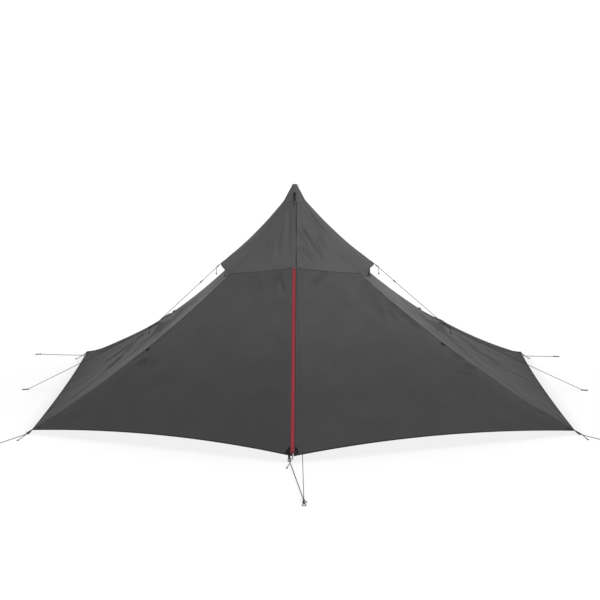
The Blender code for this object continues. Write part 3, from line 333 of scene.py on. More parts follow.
def tube_material(name, colour):
    """Anodised aluminium: drawing marks run along the pole, and it is a little duller in patches."""
    material, tree, shader = blank(name, 0.3, 1.0)
    place = object_place(tree)
    stretched = node(tree, "ShaderNodeMapping", {"Vector": place, "Scale": (1, 1, 0.02)}).outputs[0]
    marks, dull = noise(tree, stretched, 900.0, 3.0), noise(tree, place, 9.0, 3.0)
    tree.links.new(colour_mix(tree, marks, scaled(colour, 0.85), scaled(colour, 1.05)),
                   shader.inputs["Base Color"])
    tree.links.new(remap(tree, dull, low=0.22, high=0.42), shader.inputs["Roughness"])
    raise_bump(tree, shader, (marks, 0.00002, 0.4))
    return material


def net_material(name, colour):
    """Fine netting: square holes between twisted threads, open to the light."""
    material, tree, shader = blank(name, 0.8)
    threads = [maths(tree, "GREATER_THAN", off_middle(tree, value, NET_PITCH), 0.22)
               for value in uv_parts(tree)]
    tree.links.new(maths(tree, "MAXIMUM", *threads), shader.inputs["Alpha"])
    shader.inputs["Base Color"].default_value = (*colour, 1)
    return material


# The side cloth is canopy_cloth's colour painted much lighter high up, with more sheen: a lit copy of it,
# painted light for the steep sides. canopy_cloth and seam_cloth are painted a little lighter high up.
MATERIALS = {
    "canopy_cloth": cloth_material("canopy_cloth", (0.053, 0.053, 0.054), 0.55, 1.3, 0.97, 1.34),
    "side_cloth": cloth_material("side_cloth", (0.053, 0.053, 0.054), 0.55, 1.3, 0.88, 2.0, 0.10),
    "top_cloth": cloth_material("top_cloth", (0.089, 0.089, 0.090), 0.55, 1.2),
    "cap_cloth": cloth_material("cap_cloth", (0.096, 0.096, 0.098), 0.62, 1.2),
    "patch_cloth": cloth_material("patch_cloth", (0.036, 0.036, 0.037), 0.60, 1.0),
    # The dark hem tape also makes the strip of painted shade beside the zip.
    "hem_tape_and_painted_shade": webbing_material("hem_tape_and_painted_shade", (0.020, 0.020, 0.021)),
    "strap_webbing": webbing_material("strap_webbing", (0.006, 0.006, 0.007)),
    "zip_tape": webbing_material("zip_tape", (0.300, 0.030, 0.042), 0.6),
    "zip_coil": moulded_material("zip_coil", (0.360, 0.045, 0.058), 0.35, grain=2500.0, worn=1.2),
    "bar_tack": webbing_material("bar_tack", (0.160, 0.050, 0.070), 0.6),
    "zip_metal": moulded_material("zip_metal", (0.018, 0.018, 0.020), 0.32, 0.6),
    "black_hardware": moulded_material("black_hardware", (0.009, 0.009, 0.010), 0.55),
    "guy_cord": cord_material("guy_cord", (0.014, 0.014, 0.015), (0.035, 0.035, 0.037)),
    "seam_cloth": cloth_material("seam_cloth", (0.049, 0.049, 0.050), 0.55, 1.0, 0.97, 1.30),
    "thread": moulded_material("thread", (0.022, 0.022, 0.023), 0.75, grain=2500.0, worn=1.3),
    "red_thread": moulded_material("red_thread", (0.230, 0.022, 0.032), 0.75, grain=2500.0, worn=1.2),
    "vent_mesh": net_material("vent_mesh", (0.016, 0.016, 0.017)),
    "pole_tube": tube_material("pole_tube", (0.60, 0.61, 0.62)),
    "pole_rubber": moulded_material("pole_rubber", (0.016, 0.016, 0.016), 0.75, grain=700.0, worn=2.4),
}
print(len(MATERIALS), "materials:", ", ".join(MATERIALS))

# %% [markdown]
# ## Tools for meshes
# Cloth is made as a sheet through rows of points, and cord and binding as tubes and strips along a route.
# Each mesh gets a UV map in metres, so that a weave or a braid comes out at its real size.

# %% Mesh tools
def as_array(points):
    return np.array([tuple(p) for p in points])


def solid_points(name):
    """The corners of one of the solid model's pieces, each once."""
    mesh = NODES[name].data
    places = np.zeros(len(mesh.vertices) * 3)
    mesh.vertices.foreach_get("co", places)
    return np.unique(places.reshape(-1, 3).round(6), axis=0)


def solid_end(name, direction):
    """The middle of the end that lies furthest along a direction."""
    places = solid_points(name)
    along = places @ np.array(direction)
    return Vector(places[along > along.max() - 0.001].mean(0))


def axes_of(name):
    """A solid's middle and its long, wide and thin axes with its size along each."""
    places = solid_points(name)
    axes = np.linalg.svd(places - places.mean(0), full_matrices=False)[2]
    spans = [(places @ axis).min() for axis in axes], [(places @ axis).max() for axis in axes]
    middle = sum(axis * (low + high) / 2 for axis, low, high in zip(axes, *spans))
    sizes = [float(high - low) for low, high in zip(*spans)]
    return Vector(middle), [Vector(axis) for axis in axes], sizes


def axes_matrix(origin, long, facing):
    """A frame with X along a direction and Z on the side that a face looks to."""
    long = long.normalized()
    across = facing.cross(long).normalized()
    return Matrix.Translation(origin) @ Matrix((long, across, long.cross(across))).transposed().to_4x4()


def pointing(vector, way):
    """The vector or its opposite, whichever points along a way."""
    return vector if vector.dot(way) > 0 else -vector


def add_mesh(name, points, faces, uvs=None, smooth=True):
    mesh = bpy.data.meshes.new(name)
    mesh.from_pydata([tuple(p) for p in points], [], faces)
    if uvs is not None:
        layer = mesh.uv_layers.new(name="UVMap")
        flat = np.array([uvs[loop.vertex_index] for loop in mesh.loops], dtype=np.float32)
        layer.data.foreach_set("uv", flat.ravel())
    if smooth:
        mesh.shade_smooth()
    piece = bpy.data.objects.new(name, mesh)
    scene.collection.objects.link(piece)
    return piece


def grid_faces(rows, columns, closed=False, first=0):
    """The quads between rows of points. Closed rows are rings."""
    faces = []
    for row in range(rows - 1):
        start = first + row * columns
        for step in range(columns if closed else columns - 1):
            a, b = start + step, start + (step + 1) % columns
            faces.append((a, b, b + columns, a + columns))
    return faces


def tube_faces(rows, count):
    """The quads between rings of points, and a face over each end."""
    last = (rows - 1) * count
    return grid_faces(rows, count, closed=True) + [tuple(reversed(range(count))),
                                                   tuple(range(last, last + count))]


def turned_over(quads):
    return [(a, d, c, b) for a, b, c, d in quads]


def face_outwards(piece, weld=0.0):
    """Turn a closed mesh's faces outwards, and weld corners that lie on each other if asked."""
    mesh = bmesh.new()
    mesh.from_mesh(piece.data)
    if weld:
        bmesh.ops.remove_doubles(mesh, verts=mesh.verts, dist=weld)
    bmesh.ops.recalc_face_normals(mesh, faces=mesh.faces)
    mesh.to_mesh(piece.data)
    mesh.free()
    return piece


def lengths_along(points):
    steps = [0.0]
    for before, after in zip(points, points[1:]):
        steps.append(steps[-1] + (after - before).length)
    return steps


def rows_along(line):
    """How far along a line, given as rows of an array, each row lies."""
    return np.concatenate([[0], np.linalg.norm(np.diff(line, axis=0), axis=1).cumsum()])


def at_lengths(line, away, wanted):
    """A line's points at the wanted lengths, where away is the length at each of its rows."""
    return np.stack([np.interp(wanted, away, line[:, k]) for k in range(3)], -1)


def route_frames(points):
    """A side vector and an up vector square to a route at each of its points, without a twist."""
    tangents = []
    for number in range(len(points)):
        before, after = points[max(number - 1, 0)], points[min(number + 1, len(points) - 1)]
        tangents.append((after - before).normalized())
    side = tangents[0].cross(UP)
    if side.length < 0.01:
        side = tangents[0].cross(Vector((1, 0, 0)))
    frames = []
    for tangent in tangents:
        side = (side - tangent * side.dot(tangent)).normalized()
        frames.append((side, side.cross(tangent)))
    return frames


def tube(name, points, radius, sides=8):
    """A closed tube along a route."""
    ring, uvs = [], []
    for place, (side, lift), far in zip(points, route_frames(points), lengths_along(points)):
        for step in range(sides):
            turn = math.tau * step / sides
            ring.append(place + side * math.cos(turn) * radius + lift * math.sin(turn) * radius)
            uvs.append((step / sides, far))
    return add_mesh(name, ring, tube_faces(len(points), sides), uvs)


def join(name, pieces):
    """One object out of several meshes, with their UVs and materials kept."""
    for old in bpy.context.selected_objects:
        old.select_set(False)
    for piece in pieces:
        piece.select_set(True)
    bpy.context.view_layer.objects.active = pieces[0]
    bpy.ops.object.join()
    joined = bpy.context.view_layer.objects.active
    joined.name = name
    joined.data.name = name
    joined.select_set(False)
    return joined


def dress(piece, material, body=None, nodes=()):
    """Give a piece its material and the body it rides on, and hide the solids it stands for."""
    if material:
        piece.data.materials.clear()
        piece.data.materials.append(MATERIALS[material])
    if body:
        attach(piece, body)
    if nodes:
        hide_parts(*nodes)
    return piece


# %% [markdown]
# ## Floor and light
# A studio shot on white: a wide pale floor that runs into a white surround, an even light from the whole
# sky, a broad soft sun from above on the right, and two low lights that brighten the steep cloth at the
# sides, the right one more. No dark ground shows under the hems: the floor there has a painted glow that
# only the camera sees, which paints out the tent's shade, so it looks as it is just outside.

# %% Make the floor, the sky and the sun
CORNER_REACH, CORNER_DEPTH, DOOR_REACH, BASE_SHIFT = 1.905, 1.14, 1.75, 0.068
FLOOR_REACH, HEM_MARGIN = 90, 0.10
FLOOR_WHITE, UNDER_GLOW = 0.93, 0.87
SKY_LIGHT, SKY_SEEN = 0.74, 1.1


def base_outline(steps=10):
    """The hems' outline on the ground, round the whole tent."""
    def foot(end):
        return Vector((0, end * DOOR_REACH))

    def tip(side, end):
        return Vector((side * CORNER_REACH + BASE_SHIFT, end * CORNER_DEPTH))
    marks = [foot(FRONT), tip(RIGHT, FRONT), tip(RIGHT, REAR), foot(REAR), tip(LEFT, REAR),
             tip(LEFT, FRONT)]
    return [first.lerp(second, step / steps) for first, second in zip(marks, marks[1:] + marks[:1])
            for step in range(steps)]


inner = base_outline()
middle = Vector((BASE_SHIFT / 2, 0))
outer = [middle + (point - middle) * (1 + HEM_MARGIN / (point - middle).length) for point in inner]
far = [middle + (point - middle).normalized() * FLOOR_REACH for point in inner]
count = len(inner)
floor = add_mesh("floor", [(*point, 0) for point in inner + outer + far],
                 [tuple(range(count))] + turned_over(grid_faces(3, count, closed=True)), smooth=False)
shade = floor.data.attributes.new("painted_glow_under_cloth", "FLOAT", "POINT")
shade.data.foreach_set("value", [1.0] * count + [0.0] * (2 * count))
floor_paint, tree, shader = blank("floor_paint", 0.9, specular=0.0)
floor.data.materials.append(floor_paint)
# Painted glow: under the tent the floor glows for direct camera rays, which paints out the shade there.
under = node(tree, "ShaderNodeAttribute", attribute_name="painted_glow_under_cloth").outputs["Fac"]
sight = node(tree, "ShaderNodeLightPath").outputs
direct = maths(tree, "LESS_THAN", sight["Transparent Depth"], 0.5)
seen = maths(tree, "MULTIPLY", maths(tree, "MULTIPLY", under, sight["Is Camera Ray"]), direct)
tree.links.new(colour_mix(tree, seen, scaled((1, 1, 1), FLOOR_WHITE), (0, 0, 0, 1)),
               shader.inputs["Base Color"])
shader.inputs["Emission Color"].default_value = (1, 1, 1, 1)
tree.links.new(maths(tree, "MULTIPLY", seen, UNDER_GLOW), shader.inputs["Emission Strength"])
floor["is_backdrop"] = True

sky = bpy.data.worlds.new("sky")
sky.use_nodes = True
scene.world = sky
from_camera = node(sky.node_tree, "ShaderNodeLightPath").outputs["Is Camera Ray"]
sky_level = node(sky.node_tree, "ShaderNodeMix", {0: from_camera, 2: SKY_LIGHT, 3: SKY_SEEN},
                 data_type="FLOAT")
background = sky.node_tree.nodes["Background"]
sky.node_tree.links.new(sky_level.outputs[0], background.inputs["Strength"])
background.inputs["Color"].default_value = (1, 1, 1, 1)

SUNS = {                       # energy, angle across in degrees, and direction
    "soft_sun": (1.25, 45, (-0.66, 0.30, -1.0)),
    "right_light": (0.42, 45, (-1.0, 0.15, -0.30)),
    "left_light": (0.22, 45, (1.0, 0.15, -0.30)),
}
for name, (energy, angle, direction) in SUNS.items():
    light_data = bpy.data.lights.new(name, "SUN")
    light_data.energy, light_data.angle = energy, math.radians(angle)
    light = bpy.data.objects.new(name, light_data)
    scene.collection.objects.link(light)
    light.rotation_euler = Vector(direction).to_track_quat("-Z", "Y").to_euler()
print("floor, sky and", len(SUNS), "soft lights")

# %% [markdown]
# ## Guy lines
# A guy line is braided cord, pulled tight, so it runs almost straight from its lock to the ground and ends
# in a knotted eye for a peg. It is 4 mm thick, which makes it as dark from here as in the photograph. Its
# route is the solid model's: a start, an end, and a few millimetres of sag between them.

# %% Lay the guy lines
CORD_RADIUS = 0.0020
CORD_SAG = 0.004
GROUND = CORD_RADIUS + 0.0002
KNOT_HEIGHT = 0.0042
EYE_RADIUS = 0.012
EYE_REACH = 0.032
COIL_STEPS = 12
HOOD_HITCH, SIDE_HITCH = 0.008, 0.010       # from the line's end to the middle of its hitch

STAKES = {
    "corner_line_front_left": (-2.067, -1.49),
    "corner_line_front_right": (2.263, -1.44),
    "corner_line_rear_left": (-2.257, 1.18),
    "corner_line_rear_right": (2.263, 1.12),
    "door_line_front": (0.076, -2.5),
    "door_line_rear": (0.076, 2.5),
    "peak_line_front": (0.076, -2.548),
    "peak_line_rear": (0.076, 2.548),
    "side_line_left": (-2.112, 0),
    "side_line_right": (2.268, 0),
}
HOOD_RUN = (0.73, -0.68)


def sagged(start, stop, sag, t):
    return start.lerp(stop, t) - UP * sag * 4 * t * (1 - t)


def taut_route(start, stop, sag, steps=24):
    places = [sagged(start, stop, sag, step / steps) for step in range(steps + 1)]
    return [Vector((*place.xy, max(place.z, GROUND))) for place in places]


def eye_route(stop, along):
    """Out from the knot, round where the peg stands, and back to the knot."""
    level = Vector((along.x, along.y, 0)).normalized()
    across = UP.cross(level)
    leg = math.sqrt(EYE_REACH ** 2 - EYE_RADIUS ** 2)
    spread = math.asin(EYE_RADIUS / EYE_REACH)
    sweep = math.pi + 2 * spread
    legs = [(share * leg * math.cos(spread), share * leg * math.sin(spread))
            for share in (0.2, 0.4, 0.6, 0.8)]
    points = [(ahead, -aside) for ahead, aside in legs]
    for step in range(13):
        turn = -sweep / 2 + sweep * step / 12
        points.append((EYE_REACH + EYE_RADIUS * math.cos(turn), EYE_RADIUS * math.sin(turn)))
    route = []
    for ahead, aside in points + legs[::-1]:
        place = stop + level * ahead + across * aside
        place.z = GROUND + (stop.z - GROUND) * max(0.0, 1 - ahead / (0.8 * leg)) ** 2
        route.append(place)
    return route


def coil_route(place, along, turns, pitch, reaches):
    """Turns of cord round a line. The pitch and each turn's reach from the line are in cord radii."""
    side = along.cross(UP).normalized()
    lift = side.cross(along)
    steps, route = int(turns * COIL_STEPS), []
    for step in range(steps + 1):
        turn = math.tau * turns * step / steps
        shift = (step / steps - 0.5) * turns * CORD_RADIUS * pitch
        reach = CORD_RADIUS * reaches[step // COIL_STEPS % len(reaches)]
        route.append(place + along * shift + (side * math.cos(turn) + lift * math.sin(turn)) * reach)
    return route


def knot(name, place, along, turns=3.5):
    """A few turns of cord wrapped round the line, pulled tight."""
    route = coil_route(place, along, turns, 1.9, (1.75,))
    return dress(tube(name, route, CORD_RADIUS * 0.98, 6), "guy_cord", "canopy")


def hitch(name, place, along):
    """The bulky hitch that ties a line to its lock."""
    route = coil_route(place, along, 4, 2, (2.1, 2.5))
    return dress(tube(name, route, CORD_RADIUS, 6), "guy_cord", "canopy")


def declare_cord(piece, start, route, far_end, lay, **more):
    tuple(start)
    lengths_along(route)[-1]


lines = {}
for name, stake in STAKES.items():
    stop = Vector((*stake, KNOT_HEIGHT))
    start = solid_end(name, (Vector(solid_points(name).mean(0)) - stop).normalized())
    along = (stop - start).normalized()
    route = taut_route(start, stop, CORD_SAG) + eye_route(stop, stop - start)
    line = dress(tube(name + "_cord", route, CORD_RADIUS), "guy_cord", "canopy", [name])
    declare_cord(line, start, route, "knot", "taut", with_pieces=[knot(name + "_knot", stop, along)])
    lines[name] = start, along
for side in (LEFT, RIGHT):
    name = f"hood_line_{SIDE_NAMES[side]}"
    run = Vector((side * HOOD_RUN[0], 0, HOOD_RUN[1]))
    start, stop = solid_end(name, -run), solid_end(name, run)
    along = (stop - start).normalized()
    route = taut_route(start, stop, 0.0)
    line = dress(tube(name + "_cord", route, CORD_RADIUS), "guy_cord", "canopy", [name])
    declare_cord(line, start, route, "object", "taut")
    hitch(name + "_hitch", stop - along * HOOD_HITCH, along)
for name in ("side_line_left", "side_line_right"):
    start, along = lines[name]
    hitch(name + "_hitch", start + along * SIDE_HITCH, along)
print(len(lines) + 2, "guy lines:", ", ".join(lines), "and one on each hood")

# %% [markdown]
# ## The lines that the panels share
# Every panel is bounded by the same few lines as in the solid model: four ridges, two seams over the
# doors, two hood lips, two sills, six hems and two zips. Each line is a function of t from 0 to 1, so
# two panels that meet there meet exactly.

# %% Lines of the canopy
CAP_RADIUS, CAP_RIM = 0.080, 1.505
ZIP_FOOT_HEIGHT, ZIP_TOP_REACH, ZIP_TOP_HEIGHT = 0.030, 0.50, 1.064
CORNER_HEIGHT = {FRONT: 0.018, REAR: 0.038}
RIDGE_SAG = {FRONT: 0.065, REAR: 0.115}
CORNER_HOLLOW = {FRONT: 0.0, REAR: 0.026}
TOP_SAG = 0.028
DOOR_HEM_BOW, SIDE_HEM_BOW, SIDE_HEM_LIFT = 0.06, 0.035, 0.02
SEAM_RADIUS, SEAM_HEIGHT, SEAM_FULLNESS = 0.565, 0.985, 0.25
HOOD_TIP, SILL_MIDDLE, SILL_DROP = (0.592, 1.015), (0.565, 0.925), 0.020
TIE_OUT, TIE_SPREAD = (1.097, 0.540), 0.42
HINGE_FOOT, DOOR_TOP_WIDTH = 0.10, 0.026
HOLLOW_SCALE = 0.0566           # the most that t ** 6 * (1 - t) reaches


def base_x(side, reach):
    return side * reach + BASE_SHIFT * reach / CORNER_REACH


def corner(side, end):
    return Vector((base_x(side, CORNER_REACH), end * CORNER_DEPTH, CORNER_HEIGHT[end]))


def toward_corner(side, end, radius, height):
    return Vector((*corner(side, end).xy, 0)).normalized() * radius + UP * height


def ring_point(side, end):
    return toward_corner(side, end, CAP_RADIUS, CAP_RIM)


def seam_point(side, end):
    return toward_corner(side, end, SEAM_RADIUS, SEAM_HEIGHT)


def hood_tip(side):
    return Vector((base_x(side, HOOD_TIP[0]), 0, HOOD_TIP[1]))


def top_ridge(side, end, t):
    return sagged(ring_point(side, end), seam_point(side, end), TOP_SAG, t)


def lower_ridge(side, end, t):
    """The rear ridges sag most near their corners, where the photograph shows the cloth hollow."""
    extra = CORNER_HOLLOW[end] * t ** 6 * (1 - t) / HOLLOW_SCALE
    return sagged(seam_point(side, end), corner(side, end), RIDGE_SAG[end], t) - UP * extra


def cap_rim(start, stop, t):
    first = math.atan2(start.y, start.x)
    turn = (math.atan2(stop.y, stop.x) - first + math.pi) % math.tau - math.pi
    angle = first + turn * t
    return Vector((math.cos(angle), math.sin(angle), 0)) * CAP_RADIUS + UP * CAP_RIM


def bend(start, control, stop, t):
    return start * (1 - t) ** 2 + control * 2 * t * (1 - t) + stop * t ** 2


def bend_through(start, middle, stop, t):
    return bend(start, middle * 2 - (start + stop) / 2, stop, t)


def zip_top(end):
    return Vector((0, end * ZIP_TOP_REACH, ZIP_TOP_HEIGHT))


def zip_foot(end):
    return Vector((0, end * DOOR_REACH, ZIP_FOOT_HEIGHT))


def zip_line(end):
    return (zip_foot(end) - zip_top(end)).normalized()


def zip_length(end):
    return (zip_foot(end) - zip_top(end)).length


def door_normal(side, end):
    foot = zip_foot(end)
    return pointing((corner(side, end) - foot).cross(zip_top(end) - foot).normalized(), UP)


def door_across(side, end):
    return pointing(zip_line(end).cross(door_normal(side, end)), Vector((side, 0, 0)))


def door_seam(side, end, t):
    control = zip_top(end) + door_across(side, end) * SEAM_FULLNESS
    return bend(zip_top(end), control, seam_point(side, end), t)


def door_hem(side, end, t):
    along = (zip_foot(end) - corner(side, end)).normalized()
    inward = pointing(door_normal(side, end).cross(along), UP)
    return corner(side, end).lerp(zip_foot(end), t) + inward * DOOR_HEM_BOW * 4 * t * (1 - t)


def side_hem(side, t):
    hollow = Vector((-side * SIDE_HEM_BOW, 0, SIDE_HEM_LIFT)) * 4 * t * (1 - t)
    return corner(side, FRONT).lerp(corner(side, REAR), t) + hollow


def fold_share(side, end):
    """Where along a door's hem its fold ends."""
    return HINGE_FOOT / (zip_foot(end) - corner(side, end)).length


def fold_ends(side, end):
    """The ends of the line that a door folds on."""
    top = zip_top(end) + door_across(side, end) * DOOR_TOP_WIDTH
    return top, door_hem(side, end, fold_share(side, end))


print("zip", round(zip_length(FRONT), 3), "m; front ridge",
      round((corner(LEFT, FRONT) - seam_point(LEFT, FRONT)).length, 3), "m below the seam")

# %% [markdown]
# ## Panels of cloth
# A panel is a grid of points blended between its four edges, which gives the double curve that a cut and
# tensioned sheet takes. Wrinkles are then pressed into the grid along its normals. They fade out at the
# edges, where the seams hold the cloth.

# %% Panel tools
FOLD_PEAK = 2.3                 # brings a fold's crest to about its full depth


def blend_edges(top, foot, near, far, downs, acrosses):
    """Points (row, column, xyz) of the surface that four edge functions bound."""
    tops, feet = as_array([top(t) for t in acrosses]), as_array([foot(t) for t in acrosses])
    nears, fars = as_array([near(t) for t in downs]), as_array([far(t) for t in downs])
    down, across = np.array(downs)[:, None, None], np.array(acrosses)[None, :, None]
    corners = [np.array(tuple(p)) for p in (top(0), top(1), foot(0), foot(1))]
    rails = tops[None] * (1 - down) + feet[None] * down
    sides = nears[:, None] * (1 - across) + fars[:, None] * across
    flat = corners[0] * (1 - down) * (1 - across) + corners[1] * (1 - down) * across
    flat = flat + corners[2] * down * (1 - across) + corners[3] * down * across
    return rails + sides - flat


def shares(count, power=1.0):
    return [(step / count) ** power for step in range(count + 1)]


def normals_of(grid, outward):
    normal = np.cross(np.gradient(grid, axis=0), np.gradient(grid, axis=1))
    normal /= np.linalg.norm(normal, axis=2, keepdims=True) + 1e-12
    return normal if (normal @ np.array(outward)).sum() > 0 else -normal


def smooth_step(value):
    value = np.clip(value, 0, 1)
    return value * value * (3 - 2 * value)


def edge_fade(grid, width):
    """0 on a panel's edges, and 1 further than a width inside them."""
    rows = np.linalg.norm(np.diff(grid, axis=0), axis=2).cumsum(0)
    rows = np.vstack([np.zeros((1, grid.shape[1])), rows])
    columns = np.linalg.norm(np.diff(grid, axis=1), axis=2).cumsum(1)
    columns = np.hstack([np.zeros((grid.shape[0], 1)), columns])
    inside = np.minimum(np.minimum(rows, rows[-1:] - rows), np.minimum(columns, columns[:, -1:] - columns))
    return smooth_step(inside / width)


def at_pixel(grid, x, y):
    """The point of a panel that the camera sees nearest to a pixel of the photograph."""
    turn = np.array(camera.rotation_euler.to_matrix())
    local = (grid.reshape(-1, 3) - np.array(camera.location)) @ turn
    scale, half = camera_data.lens / camera_data.sensor_width * PHOTO_PIXELS, PHOTO_PIXELS / 2
    seen = np.stack([half + scale * local[:, 0] / -local[:, 2],
                     half - scale * local[:, 1] / -local[:, 2]], 1)
    return grid.reshape(-1, 3)[np.argmin(((seen - (x, y)) ** 2).sum(1))]


def fold_field(grid, start, stop, width):
    """One soft fold from start to stop: a crest beside a hollow, which dies out at both ends."""
    along = stop - start
    length = np.linalg.norm(along)
    along = along / length
    away = grid - start
    far = away @ along
    facing = np.cross(along, normals_of(grid, (0, 0, 1))[grid.shape[0] // 2, grid.shape[1] // 2])
    aside = away @ (facing / np.linalg.norm(facing))
    ends = smooth_step(far / (0.2 * length)) * smooth_step((length - far) / (0.45 * length))
    wide = width * (0.6 + 0.8 * np.clip(far / length, 0, 1))
    return ends * (aside / wide) * np.exp(-(aside / wide) ** 2) * FOLD_PEAK


def photo_folds(grid, folds, strength):
    """Folds given by two pixels of the photograph, a depth in mm and a width in mm."""
    total = np.zeros(grid.shape[:2])
    for x0, y0, x1, y1, depth, width in folds:
        start, stop = at_pixel(grid, x0, y0), at_pixel(grid, x1, y1)
        total += fold_field(grid, start, stop, width / 1000) * depth * strength / 1000
    return total


def rays_field(grid, centre, count, near, far, phase):
    """Tension wrinkles that run out from a point that pulls on the cloth."""
    away = grid - np.array(centre)
    distance = np.linalg.norm(away, axis=2)
    normal = normals_of(grid, (0, 0, 1)).mean((0, 1))
    first = np.cross(normal, (0.31, 0.95, 0.05))
    second = np.cross(normal, first)
    angle = np.arctan2(away @ second, away @ first)
    ripple = np.sin(count * angle + phase) + 0.6 * np.sin(1.7 * count * angle + 2.3 * phase)
    return ripple * smooth_step(distance / near) * np.exp(-(distance / far) ** 2)


def drift_field(grid, seed, wave=0.22, count=14):
    """A soft unevenness of the whole sheet, from a few crossing waves."""
    random = np.random.default_rng(seed)
    total = np.zeros(grid.shape[:2])
    for _ in range(count):
        direction = random.normal(size=3)
        direction *= math.tau / (wave * random.uniform(0.5, 1.6)) / np.linalg.norm(direction)
        total += np.sin(grid @ direction + random.uniform(0, math.tau)) / count ** 0.5
    return total


def press(grid, outward, field, fade):
    """Move a panel's points along its normals by a field, which fades out at its edges."""
    return grid + normals_of(grid, outward) * (field * edge_fade(grid, fade))[:, :, None]


class Panel:
    """A panel's grid, with its normals, so that seams, patches and hardware can be laid on it."""

    def __init__(self, grid, outward):
        self.grid, self.normals = grid, normals_of(grid, outward)
        self.rows, self.columns = grid.shape[:2]

    def at(self, row, column):
        """A point and a normal at a fractional row and column."""
        row, column = min(max(row, 0), self.rows - 1.001), min(max(column, 0), self.columns - 1.001)
        i, j = int(row), int(column)
        a, b = row - i, column - j
        found = []
        for field in (self.grid, self.normals):
            value = (field[i, j] * (1 - a) * (1 - b) + field[i + 1, j] * a * (1 - b)
                     + field[i, j + 1] * (1 - a) * b + field[i + 1, j + 1] * a * b)
            found.append(Vector(value))
        return found[0], found[1].normalized()

    def inset(self, edge, distance, lift):
        """The line at a distance inside an edge, lifted off the cloth. Below 0 it lies outside."""
        grid, normals = self.grid, self.normals
        if edge in ("top", "foot"):
            grid, normals = grid.transpose(1, 0, 2), normals.transpose(1, 0, 2)
        if edge in ("far", "foot"):
            grid, normals = grid[:, ::-1], normals[:, ::-1]
        line = []
        for points, facing in zip(grid, normals):
            away = rows_along(points)
            place = at_lengths(points, away, distance)
            if distance < 0:
                place = points[0] + (points[1] - points[0]) / away[1] * distance
            row = min(int(np.searchsorted(away, max(distance, 0))), len(points) - 1)
            line.append(place + facing[row] * lift)
        return np.array(line)

    def piece(self, name):
        normal = self.normals.mean((0, 1))
        first = np.cross((0, 0, 1), normal)
        first /= np.linalg.norm(first)
        second = np.cross(normal, first)
        second /= np.linalg.norm(second)
        flat = self.grid.reshape(-1, 3) - self.grid.mean((0, 1))
        uvs = np.stack([flat @ first, flat @ second], 1)
        faces = grid_faces(self.rows, self.columns)
        i, j = self.rows // 2, self.columns // 2
        facing = np.cross(self.grid[i, j + 1] - self.grid[i, j], self.grid[i + 1, j] - self.grid[i, j])
        if facing @ self.normals[i, j] < 0:
            faces = [tuple(reversed(face)) for face in faces]
        return add_mesh(name, self.grid.reshape(-1, 3), faces, uvs)


def cloth_area(grid):
    one = np.cross(grid[:-1, 1:] - grid[:-1, :-1], grid[1:, :-1] - grid[:-1, :-1])
    two = np.cross(grid[:-1, 1:] - grid[1:, 1:], grid[1:, :-1] - grid[1:, 1:])
    return float(np.linalg.norm(one, axis=2).sum() + np.linalg.norm(two, axis=2).sum()) / 2


RECTANGLE_SPARE = 1.01          # the flat rectangle has at least this share of the cloth's area
CLOTH_FILL = 0.31               # and the cloth fills at least this share of the rectangle


def declare_panel(piece, panel):
    """The sheet's area. The longest row and column give a rectangle that would hold it, which is not used.
    """
    wide = max(np.linalg.norm(np.diff(panel.grid, axis=1), axis=2).sum(1))
    tall = max(np.linalg.norm(np.diff(panel.grid, axis=0), axis=2).sum(0))
    area = cloth_area(panel.grid)
    tall = min(max(tall, area / wide * RECTANGLE_SPARE), area / wide / CLOTH_FILL)
    return area


PANELS = {}

# %% [markdown]
# ## Doors and the cloth beside them
# Each half of the front and of the back is one sheet from the ridge to the zip. The inner part is the
# door, a flat triangle, and the outer part is fixed. The cloth bends across the line between them when
# the door swings. The small angle where the flat door meets the hollow ridge is rounded off over a
# hand's width, because the real cloth shows no line there.

# %% Make the four door halves
SURROUND_SHARES = [1 - (1 - step / 20) ** 1.8 for step in range(21)]
DOOR_SHARES = [(step / 82) ** 1.35 for step in range(1, 83)]
ZIP_CLEAR = {LEFT: 0.001, RIGHT: 0.0065}
ROWS = 110
ROUNDING = 0.26                 # how far beside the fold the angle is rounded off, before it is cut to fit
BROAD_FADE, TOP_FADE = 0.03, 0.022
FRONT_FOLD_STRENGTH, SIDE_FOLD_STRENGTH, TOP_FOLD_STRENGTH = 5.5, 0.8, 3.8
FRONT_FOLDS = {
    RIGHT: [(374, 281, 398, 331, 5.0, 44), (384, 288, 409, 330, 5.5, 38), (396, 300, 418, 333, 4.0, 32),
            (330, 268, 306, 290, -2.6, 26), (366, 274, 348, 300, 2.2, 30),
            (449, 351, 466, 362, 4.5, 16), (464, 363, 478, 370, 3.0, 12), (455, 372, 476, 377, 2.0, 12)],
    LEFT: [(277, 268, 283, 300, 2.0, 22), (250, 273, 262, 300, 1.6, 26),
           (143, 350, 128, 361, 3.0, 14), (150, 357, 132, 366, 2.2, 12), (139, 364, 164, 362, 1.6, 10)],
}


def rounded_at(line, number, reach):
    """A line of points with the angle at one of them rounded off for a distance on either side."""
    along = rows_along(line)
    along -= along[number]
    reach = 0.85 * min(reach, -along[0], along[-1])
    before, after = at_lengths(line, along, -reach), at_lengths(line, along, reach)
    t = ((along + reach) / (2 * reach))[:, None]
    rounded = before * (1 - t) ** 2 + line[number] * 2 * t * (1 - t) + after * t ** 2
    return np.where((np.abs(along) < reach)[:, None], rounded, line)


